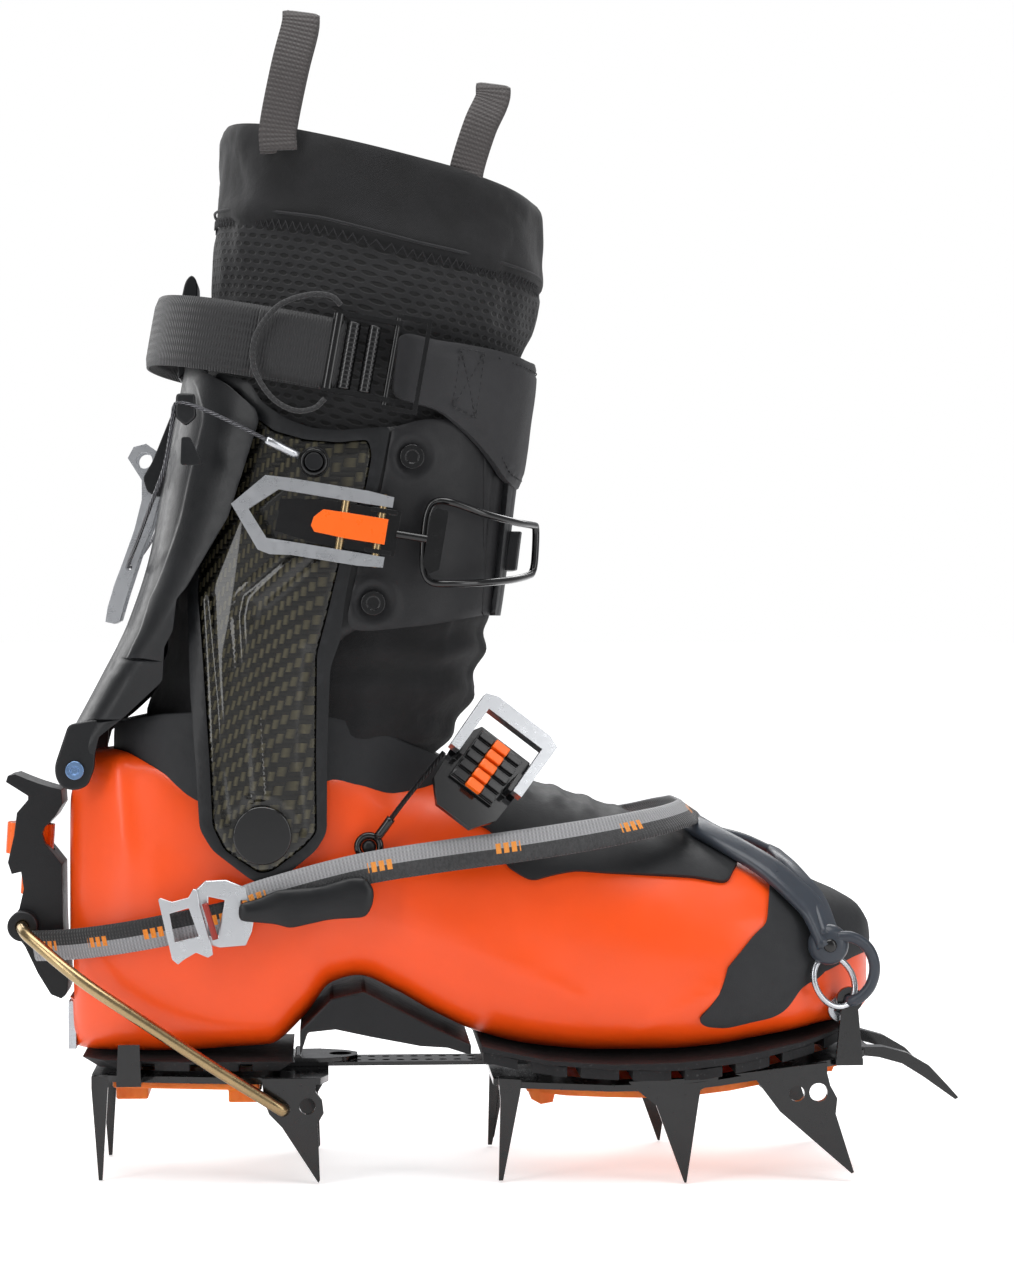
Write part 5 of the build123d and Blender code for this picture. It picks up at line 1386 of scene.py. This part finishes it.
def spine_slab(name, outline, low, high, edge=0.5, corner=1.5):
    slab = prism(name, rounded(outline, corner), low, high)
    sharpen(slab, 30)
    bevel(slab, edge, 3, 40)
    place(slab, SATIN, "spine")


# name, outline in x, z, least and greatest |Y|, edge width, corner radius
SPINE_SLABS = [
    ("lever_bracket_", [(41.5, 291.4), (31.5, 266.2), (27.8, 259.9), (29.4, 254.7),
                        (33.4, 252.6), (44.2, 258), (45.9, 281.6)], 10.2, 12.6, 0.5, 1.5),
    ("spine_foot_", [(12.0, 164.4), (11.3, 152.2), (8.8, 145.8), (4.2, 144.2), (-0.6, 145.2),
                     (-2.9, 149), (-3.2, 153.5), (1.8, 168.5), (13, 170.5)], 31.4, 33.9, 0.7, 2.0),
    ("cable_hook_", [(42.6, 288), (42.2, 279.5), (46.0, 276.2), (49.8, 279.5), (49.4, 288)],
     58.5, 62.0, 0.8, 1.5),
    ("wing_tab_", [(44.4, 272.5), (47.6, 272.5), (52.0, 262.5), (44.0, 262.5)],
     58.4, 60.6, 0.7, 1.0)]
rear_spine()
for side, tag in SIDES:
    for name, outline, near_y, far_y, edge, corner in SPINE_SLABS:
        spine_slab(name + tag, outline, *sorted((side * near_y, side * far_y)), edge, corner)
spine_slab("spine_tang", [(40.8, 296), (41.2, 316), (42.0, 326), (43.6, 333.4), (46.0, 336.2),
                          (48.2, 333.6), (48.2, 327), (45.6, 318), (44.2, 300)], -12, 12, 1.4, 2.4)
cad_part("spine_bolts", BLUE_ZINC, edge=0.3)
cad_part("walk_lever", ALU, edge=0.5)
cad_part("walk_lever_pin", BLUE_ZINC, edge=0.25)
cad_part("cable_posts", SATIN, edge=0.4)


def eye_ring(x, y, z, radius):
    angles = [2 * math.pi * k / 28 for k in range(28)]
    return [(x + radius * math.cos(t), y, z + radius * math.sin(t)) for t in angles]


# lock cables; points are x, |y|, z
POST_X, POST_Z = 91.8, 263.9
EYE_Y = abs(cuff_pt(cuff_angle(POST_X, POST_Z, 3.1), POST_Z, 3.1)[1]) + 3.0
LOCK_CABLE_RADIUS = 0.75
CABLE_JOINT = (41.0, 60.6, 275.6)
UPPER_CABLE = [(76.0, 59.8, 271.0), (66, 60.8, 276.0), (55, 61.4, 281.2), (46.4, 61.6, 284.4),
               (42.4, 61.4, 284.2), (41.4, 61.0, 280.0), CABLE_JOINT]
FERRULE = [(86.6, EYE_Y, 266.2), (84.4, EYE_Y, 267.0), (78.0, 59.4, 270.1), (74.6, 59.7, 271.7)]
LOWER_CABLE = [CABLE_JOINT, (38.5, 60.2, 262), (33.0, 54, 248), (27.0, 34, 235.5),
               (23.2, 18, 228.6), (22.4, 9.6, 226.7)]
for side, tag in SIDES:
    near = side < 0
    cable = tube("upper_cable_" + tag, mirrored(UPPER_CABLE, side), LOCK_CABLE_RADIUS, sides=10)
    place(cable, CABLE, "cuff", "lock_cables_upper" if near else None)
    ferrule = tube("upper_ferrule_" + tag, mirrored(FERRULE, side),
                   lambda t: 1.7 if 0.06 < t < 0.94 else 1.4, sides=16)
    place(ferrule, STEEL, "cuff")
    eye = tube("cable_eye_" + tag, eye_ring(POST_X, side * EYE_Y, POST_Z, 4.1), 0.95, sides=10,
               closed=True, smooth=False)
    place(eye, BLACK_STEEL, "cuff")
    cable = tube("lower_cable_" + tag, mirrored(LOWER_CABLE, side), LOCK_CABLE_RADIUS, sides=10)
    place(cable, CABLE, "spine", "lock_cables_lower" if near else None)

# ------------------------------------------------------------------ power strap, pad and cord
TILT = math.radians(10)      # the strap slopes down towards the front
STRAP_ACROSS = (math.sin(TILT), 0, math.cos(TILT))


def tilted(points):
    """Turn points by TILT about x = 100, z = 300."""
    sine, cosine = math.sin(TILT), math.cos(TILT)
    return [(100 + (x - 100) * cosine + (z - 300) * sine, y,
             300 - (x - 100) * sine + (z - 300) * cosine) for x, y, z in points]


STRAP_Z = 302.0
# plan of the strap, from the buckle round the rear to the far front: x, y
STRAP_PLAN = [(97, -60.4), (90, -60.0), (82, -59.6), (68, -58.0), (54, -53.0), (43, -44.5),
              (35, -32), (31, -16), (30, 0), (31, 16), (35, 32), (43, 44.5), (54, 53), (68, 58),
              (82, 59.6), (100, 60.6), (116, 60.8), (131, 60.0), (144, 57.8), (155, 52.6)]
STRAP_FOLD = [(70, -60.4), (84, -61.8), (94, -62.2), (99.6, -63.4), (101.0, -61.2),
              (97, -60.0), (90, -59.4)]
webbing = ribbon("power_strap_webbing", tilted([(x, y, STRAP_Z) for x, y in STRAP_PLAN]),
                 26.0, 2.2, STRAP_ACROSS, 2.5)
place(webbing, WEB_BLACK, "cuff", "strap_webbing")
# the folded end at the buckle
fold = ribbon("power_strap_fold", tilted([(x, y, STRAP_Z) for x, y in STRAP_FOLD]),
              25.0, 1.7, STRAP_ACROSS, 1.2)
place(fold, WEB_BLACK, "cuff")

# padded tab across the shin: arc, z
PAD = [(cuff_arc(119.0, 290), 311), (cuff_arc(133, 300), 308.0), (24, 302.5), (-30, 302.5),
       (-60, 300), (-60, 262), (-28, 257), (20, 256.0), (33, 259.5),
       (cuff_arc(136.0, 284), 283.0), (cuff_arc(120.0, 290), 287.0)]


def pad_puff(arc, z):
    """Filled middle, with a stitched groove inside the edge."""
    edge = outline_distance(arc, z, PAD)
    puff = 1.7 * (1 - math.exp(-edge / 3.4)) - 0.7 * bell(edge - 3.2, 0.7)
    return puff + 0.25 * noise.noise(Vector((arc * 0.09, z * 0.09, 4.0)))


def stitches(name, points):
    """A row of short threads lying on a path."""
    pitch, radius, sides = 2.6, 0.28, 6
    path = smooth_path(points, 0.3)
    length = 0.0
    runs, run = [], []
    for start, end in zip(path[:-1], path[1:]):
        length += (end - start).length
        if (length % pitch) < pitch * 0.66:
            run.append(end)
        elif run:
            runs.append(run)
            run = []
    runs.append(run)
    verts, faces = [], []
    for run in runs:
        if len(run) < 2:
            continue
        faces += loft_faces(len(run), sides, start=len(verts), caps=True)
        for i, point in enumerate(run):
            ahead = heading(run, i)
            side = ahead.cross(Vector((0.3, 0.9, 0.2))).normalized()
            here = radius * (0.55 if i in (0, len(run) - 1) else 1)
            verts += circle(point, side, ahead.cross(side), here, sides)
    place(solid(name, verts, faces), THREAD, "cuff")


def on_pad(points, off):
    return [cuff_pt(arc / CUFF_RADIUS, z, off) for arc, z in points]


pad = wrap_skin("shin_pad_body", PAD, 3.9, 6.0, 1.8, pad_puff, 4.0)
bevel(pad, 0.8, 3, 50)
place(pad, PAD_GREY, "cuff", "strap_shin_pad")
# crossed box of stitching at the tab's end: corners in arc, z
OUT_TOP, OUT_LOW, IN_TOP, IN_LOW = (66, 305), (66, 284), (56, 304), (56, 280)
CROSS_BOX = [(OUT_TOP, OUT_LOW), (IN_TOP, IN_LOW), (OUT_TOP, IN_TOP), (OUT_LOW, IN_LOW),
             (OUT_TOP, IN_LOW), (OUT_LOW, IN_TOP)]
for i, ((arc0, z0), (arc1, z1)) in enumerate(CROSS_BOX):
    line = [(arc0 + (arc1 - arc0) * k / 8, z0 + (z1 - z0) * k / 8) for k in range(9)]
    stitches("pad_stitch_%d" % i, on_pad(line, 7.5))
stitches("pad_edge_stitch",
         on_pad([(48, 302.5), (24, 299.6), (0, 299.6), (-30, 299.4), (-55, 297)], 6.9))
stitches("pad_edge_stitch_low",
         on_pad([(48, 277), (32, 262.6), (20, 259.4), (0, 259.4), (-26, 260), (-55, 264.6)], 6.9))
cad_part("strap_buckle_frame", BLACK_STEEL, edge=0.5)
cad_part("strap_hook_link", BLACK_STEEL, edge=0.25)
for k, (x, radius) in enumerate(((104.0, 2.6), (111.5, 2.4))):
    roller = tube("buckle_roller_%d" % k, tilted([(x, -62.3, z) for z in (290.4, 302, 314.4)]),
                  lambda t: radius * (1.0 + 0.05 * math.sin(t * 90)), step=0.5, sides=18)
    place(roller, BLACK_STEEL, "cuff")
PULL_CORD = [(98, -64.4, 319.6), (94, -65.4, 322), (86, -65.6, 321), (76, -65.2, 315),
             (70, -64.6, 303), (71.5, -64.6, 292), (79, -64.8, 283), (88, -64.8, 279.5),
             (95, -64.8, 281.5), (98.2, -64.2, 285.6)]
place(tube("strap_cord", tilted(PULL_CORD), 1.0, sides=10),
      CORD, "cuff", "strap_pull_cord")

# ------------------------------------------------------------------ cuff buckle
cad_part("cuff_buckle_bracket", GLOSS, edge=0.35)
cad_part("cuff_buckle_hinge_pin", BRASS, edge=0.2)
cad_part("cuff_buckle_cross_pin", BRASS, edge=0.2)
cad_part("cuff_buckle_lever", ALU, edge=0.8, segments=3)
cad_part("cuff_buckle_slider", ORANGE_PART, edge=0.9, segments=3)
cad_part("cuff_buckle_hook", BLACK_STEEL, edge=0.5)
CUFF_BAIL = [
    (131.6, -54.3, 224.4), (131.2, -54.6, 231), (131.6, -54.8, 238), (132.8, -54.6, 245.6),
    (135.6, -54.8, 249.6), (141.5, -55.6, 249.4), (155.1, -50.6, 245.0), (166.6, -38.5, 242.6),
    (173.2, -24.2, 242.0), (174.4, -20.6, 241.4), (174.5, -19.9, 236.0), (174.0, -19.9, 228),
    (173.2, -20.6, 224.8), (171.6, -24.5, 223.4), (164.2, -38.5, 221.6), (153.0, -49.8, 220.4),
    (140.8, -55.0, 220.0), (134.2, -54.9, 220.6)]
place(tube("cuff_bail_wire", CUFF_BAIL, 1.35, sides=14, closed=True),
      GLOSS, "cuff", "cuff_buckle_bail")
cad_part("cuff_buckle_catch", SATIN, edge=0.5)

# ------------------------------------------------------------------ instep buckle
cad_part("instep_buckle_base", GLOSS, edge=0.6)
cad_part("instep_ladder", GLOSS, edge=0.3)
cad_part("instep_ladder_teeth", ORANGE_PART, edge=0.5)
cad_part("instep_buckle_lever", ALU, edge=0.7, segments=3)
INSTEP_CABLE = [(114.0, -46.6, 127.0), (116.0, -46.9, 129.0), (121.6, -47.8, 137),
                (130.6, -48.8, 148.5), (139.0, -50.0, 158.8)]
INSTEP_EYE_X, INSTEP_EYE_Z = 111.7, 124.1
place(tube("instep_cable_line", INSTEP_CABLE, 0.95, sides=10),
      CABLE_BLACK, "root", "instep_cable")
ferrule = tube("instep_ferrule", [(114.9, -46.6, 127.8), (117.4, -47.0, 131.2),
                                  (119.8, -47.5, 134.6)], 1.7, sides=14)
place(ferrule, BLACK_STEEL, "root")
eye = tube("instep_cable_eye", eye_ring(INSTEP_EYE_X, -46.0, INSTEP_EYE_Z, 4.2), 1.3, sides=12,
           closed=True, smooth=False)
place(eye, GLOSS, "root")
place(dome("instep_eye_stud", INSTEP_EYE_X, INSTEP_EYE_Z, 2.8, 44.4, 3.0, -1),
      SATIN, "root")

# ------------------------------------------------------------------ crampon
cad_part("crampon_heel_frame", BLACK_STEEL, edge=0.3)
cad_part("crampon_front_frame", BLACK_STEEL, edge=0.3)
cad_part("antiball_heel", AMBER, edge=0.8)
cad_part("antiball_front", AMBER, edge=0.8)
cad_part("linking_bar", BLACK_STEEL, edge=0.25)
cad_part("bar_lock_plate", BLACK_STEEL, edge=0.3)
cad_part("heel_bail_rollers", SATIN, edge=0.5)
cad_part("heel_lever", SATIN, edge=0.9, segments=3)
cad_part("heel_adjust_wheel", ORANGE_PART, edge=0.4)
HEEL_BAIL = [(-16.5, 0, 92.9), (-16.5, 10, 92.9), (-16.5, 18.5, 92.9), (-15.6, 24.5, 92.2),
             (-11.4, 31.0, 89.0), (7.0, 41.2, 75.4), (30, 44.3, 60.2), (55, 44.0, 43.6),
             (77.0, 43.4, 29.6), (80.0, 42.4, 27.5), (80.6, 39.6, 27.1), (80.6, 34.2, 27.1)]
for side, tag in SIDES:
    wire = tube("heel_bail_wire_" + tag, mirrored(HEEL_BAIL, side), 2.2, sides=18)
    place(wire, BRASS, "heel_bail", "heel_wire_bail" if side < 0 else None)


def band(name, points, width, thick):
    """Rounded band whose flat side faces a point inside the toe; width is a function of 0..1."""
    sides = 14
    centre = Vector((248, 0, 78))
    path = smooth_path(points, 2.0)
    verts = []
    for i, point in enumerate(path):
        ahead = heading(path, i)
        normal = point - centre
        normal = (normal - ahead * normal.dot(ahead)).normalized()
        across = ahead.cross(normal)
        here = width(i / (len(path) - 1))
        for k in range(sides):
            t = 2 * math.pi * k / sides
            verts.append(point + across * signed_power(math.cos(t), 0.55) * here / 2
                         + normal * signed_power(math.sin(t), 0.7) * thick / 2)
    return loft(name, verts, sides)


def over_shell(rows, side=1):
    """Points from x, degrees up from the side, height above the shell."""
    return [shell_pt(x, math.radians(180 - degrees if side < 0 else degrees), off)
            for x, degrees, off in rows]


# toe harness: two bands over the toe, side bosses and wire loops
BOSS_X, BOSS_Z = 280.9, 87.2
MAIN_BAND = [(276.5, 33, 5.6), (270, 44, 5.2), (260, 56, 4.8), (248, 68, 4.8), (238, 80, 5.2),
             (234, 90, 5.6)]
TOE_BAND = [(278.5, 42, 5.4), (273.5, 56, 5.0), (269, 72, 4.8), (267, 90, 4.8)]
HARNESS_LOOP = [(283.5, 47.0, 90.2), (289.5, 46.8, 90.0), (295.4, 46.2, 86.0),
                (298.0, 45.6, 79.0), (296.6, 45.0, 72), (292.6, 44.6, 67.4),
                (289.6, 43.4, 66.2), (289.6, 38.2, 66.2)]       # x, |y|, z


def harness_side(side, tag):
    main = band("harness_main_" + tag, [(281.5, side * 47.0, 86.5)] + over_shell(MAIN_BAND, side),
                lambda t: 12.5 - 2.5 * t, 4.6)
    place(main, SLATE, "toe_harness", "toe_harness" if side < 0 else None)
    toe = band("harness_toe_band_" + tag,
               [(281.5, side * 46.5, 90.0)] + over_shell(TOE_BAND, side),
               lambda t: 9.5 - 1.5 * t, 3.8)
    place(toe, SLATE, "toe_harness")
    place(dome("harness_boss_" + tag, BOSS_X, BOSS_Z, 7.6, 44.6, 4.6, side),
          SLATE, "toe_harness")
    place(dome("harness_boss_pin_" + tag, BOSS_X, BOSS_Z, 2.6, 48.6, 1.6, side),
          BLACK_STEEL, "toe_harness")
    place(tube("harness_loop_" + tag, mirrored(HARNESS_LOOP, side), 2.1, sides=14),
          SLATE, "toe_harness")
    centre = Vector((283.4, side * 43.2, 73.4))
    long_axis = Vector((0.50, 0.0, -0.86))
    short_axis = Vector((-0.80, side * 0.34, -0.47)).normalized()
    angles = [2 * math.pi * k / 40 for k in range(40)]
    ring = [centre + long_axis * (9.8 * math.cos(t)) + short_axis * (7.8 * math.sin(t))
            for t in angles]
    place(tube("toe_ring_" + tag, ring, 1.15, sides=12, closed=True, smooth=False),
          STEEL, "root")


for side, tag in SIDES:
    harness_side(side, tag)
bridge = band("harness_bridge",
              over_shell([(236, 90, 5.4), (246, 90, 4.8), (256, 90, 4.6), (267, 90, 4.6)]),
              lambda t: 11 - 3 * math.sin(t * math.pi), 3.6)
place(bridge, SLATE, "toe_harness")

# crampon strap runs and their width directions
TOP_RUN = [(66, -50.4, 104.4), (74, -50.8, 107.2), (96, -51.8, 113.4), (115, -52.4, 117.6),
           (140, -53.8, 121.4), (165, -55.8, 124.8), (188, -55.0, 128.2), (207, -48.5, 131.0),
           (222, -36.0, 133.2), (231, -20, 134.6), (234, 0, 135.0)]
TOP_ACROSS = [(-0.2, 0.0, 1.0), (-0.2, 0.0, 1.0), (-0.12, 0.05, 1.0), (-0.1, 0.1, 1.0),
              (-0.1, 0.25, 0.95), (-0.1, 0.5, 0.8), (-0.1, 0.8, 0.5), (-0.3, 0.9, 0.3)]
FAR_RUN = [(234, 0, 135.0), (231, 20, 134.6), (222, 36, 132.2), (207, 47.5, 128.0),
           (188, 51.5, 122.2), (165, 50.2, 117.8), (140, 48.4, 112.4), (115, 46.6, 107.6),
           (90, 45.4, 103.0), (60, 44.6, 98.5), (36, 42.4, 94.0), (18, 36.4, 90.6),
           (8.6, 31.0, 88.0)]
FAR_ACROSS = [(-0.3, -0.9, 0.3), (-0.1, -0.8, 0.5), (-0.1, -0.5, 0.8), (-0.1, -0.2, 0.95),
              (-0.1, 0, 1.0), (-0.15, 0, 1.0), (-0.18, 0, 1.0)]
REAR_RUN = [(62.0, -49.2, 99.6), (54, -49.4, 97.8), (44, -48.6, 95.6), (30, -45.4, 92.6),
            (16, -38.8, 89.8), (4, -30.2, 87.6), (-6, -23.5, 86.4), (-12, -18.8, 85.8)]
TOE_BLEND = ("root", "toe_harness", to_scene((196, 0, 128)), to_scene((232, 0, 134)))
HEEL_BLEND = ("root", "heel_bail", to_scene((24, 0, 92)), to_scene((-8, 0, 87)))
place(ribbon("crampon_strap_top_run", TOP_RUN, 11.6, 1.7, TOP_ACROSS),
      WEB_FRONT, TOE_BLEND, "crampon_strap_front")
place(ribbon("crampon_strap_far_run", FAR_RUN, 11.4, 1.7, FAR_ACROSS),
      WEB_FRONT, TOE_BLEND)
place(ribbon("crampon_strap_rear_run", REAR_RUN, 11.4, 1.6, (-0.18, -0.05, 1.0)),
      WEB_REAR, HEEL_BLEND, "crampon_strap_rear")
KEEPER = [(64.6, 98.2), (64.6, 104.6), (70.4, 105.7), (78.7, 109.4), (93.9, 110.4),
          (105.5, 114.0), (110.6, 113.6), (113.5, 109.4), (113.1, 104), (110.6, 99.3),
          (97.5, 98.6), (83, 95.4), (78, 97.0)]                 # x, z


def keeper_face(off, lift):
    def point(x, z):
        swell = off * (1 - math.exp(-outline_distance(x, z, KEEPER) / 1.6))
        return (x, -54.4 - swell - lift - max(0.0, (x - 96)) * 0.02, z)
    return point


keeper = thick_patch("keeper_tab", rounded(KEEPER, 2.6), 1.6,
                     keeper_face(1.7, 0.9), keeper_face(-0.6, 0))
bevel(keeper, 0.5, 2, 50)
place(keeper, SATIN, "root", "strap_keeper_tab")
cad_part("strap_buckle_plate", ALU, edge=0.45)
cad_part("strap_cam_plate", ALU, edge=0.45)
bar = tube("strap_red_bar", [(52.4, -54.9, 104.6), (54.4, -54.9, 98.0), (56.2, -54.9, 91.6)],
           1.15, sides=14)
place(bar, surface("red_bar", (150, 40, 26), rough=0.35), "strap_cam")


# ------------------------------------------------------------------ stage (metres from here on)
def studio_floor():
    """Floor just under the points that glows brighter away from the boot."""
    half, drop = 25000, -0.6      # millimetres, as make() takes them
    floor = make("studio_floor", [(-half, -half, drop), (half, -half, drop), (half, half, drop),
                                  (-half, half, drop)], [(0, 1, 2, 3)])
    mat = Material("studio_floor")
    mat.set(Base_Color=mat.mix(mat.noise(scale=3, detail=3), (0.88, 0.88, 0.885),
                               (0.93, 0.93, 0.935)),
            Roughness=0.6, Emission_Color=(1, 1, 1, 1), Specular_IOR_Level=0.2)
    away = mat.node("VectorMath", "Value", {0: mat.coords["Object"]}, operation="LENGTH")
    camera_ray = mat.node("LightPath", "Is Camera Ray")
    glow = 0.48 + mat.ramp(away, low=0.7, high=2.6) * 0.5
    mat.set(Emission_Strength=glow * (0.25 + camera_ray * 0.75))
    paint(floor, mat.material)
    return floor


def area_light(name, location, width, height, power):
    target = Vector((0.14, 0.0, 0.14))
    light = bpy.data.lights.new(name, "AREA")
    light.shape = "RECTANGLE"
    light.size, light.size_y, light.energy = width, height, power
    obj = add_object(name, light)
    obj.location = location
    obj.rotation_euler = (target - Vector(location)).to_track_quat("-Z", "Y").to_euler()
    return obj


def studio_world():
    """Dim cool light, seen as plain white by the camera."""
    world = bpy.data.worlds.new("studio")
    world.use_nodes = True
    tree = world.node_tree
    ambient = tree.nodes["Background"]
    ambient.inputs["Color"].default_value = (0.96, 0.97, 1.0, 1)
    ambient.inputs["Strength"].default_value = 0.30
    path = tree.nodes.new("ShaderNodeLightPath")
    white = tree.nodes.new("ShaderNodeBackground")
    white.inputs["Color"].default_value = (1, 1, 1, 1)
    mix = tree.nodes.new("ShaderNodeMixShader")
    tree.links.new(path.outputs["Is Camera Ray"], mix.inputs[0])
    tree.links.new(ambient.outputs[0], mix.inputs[1])
    tree.links.new(white.outputs[0], mix.inputs[2])
    tree.links.new(mix.outputs[0], tree.nodes["World Output"].inputs["Surface"])
    bpy.context.scene.world = world


def photo_view():
    camera = bpy.data.cameras.new("photo_view")
    camera.sensor_fit = "VERTICAL"
    camera.sensor_height = 36.0
    camera.sensor_width = 36.0
    camera.lens = 84.84
    camera.clip_start = 0.01
    camera.clip_end = 20
    obj = add_object("photo_view", camera)
    yaw, pitch = math.radians(3.44), math.radians(0.57)
    aim = Vector((math.sin(yaw) * math.cos(pitch), math.cos(yaw) * math.cos(pitch),
                  -math.sin(pitch)))
    obj.location = to_scene((95.8, -1150, 209.8))
    obj.rotation_euler = aim.to_track_quat("-Z", "Y").to_euler()
    bpy.context.scene.camera = obj
    return obj


floor = studio_floor()
lights = [
    area_light("key_top", (0.05, -0.30, 1.35), width=1.3, height=0.9, power=15),
    area_light("front_left", (-1.05, -1.05, 0.65), width=0.5, height=1.2, power=7),
    area_light("front_right", (1.25, -0.95, 0.50), width=0.5, height=1.2, power=5),
    area_light("rim_back", (0.2, 0.95, 0.9), width=1.3, height=0.6, power=9),
    area_light("back_fill", (-0.8, 0.9, 0.5), width=0.7, height=0.7, power=4)]
studio_world()
bpy.context.scene.view_settings.view_transform = "Standard"
bpy.context.scene.view_settings.look = "None"
photo_view()

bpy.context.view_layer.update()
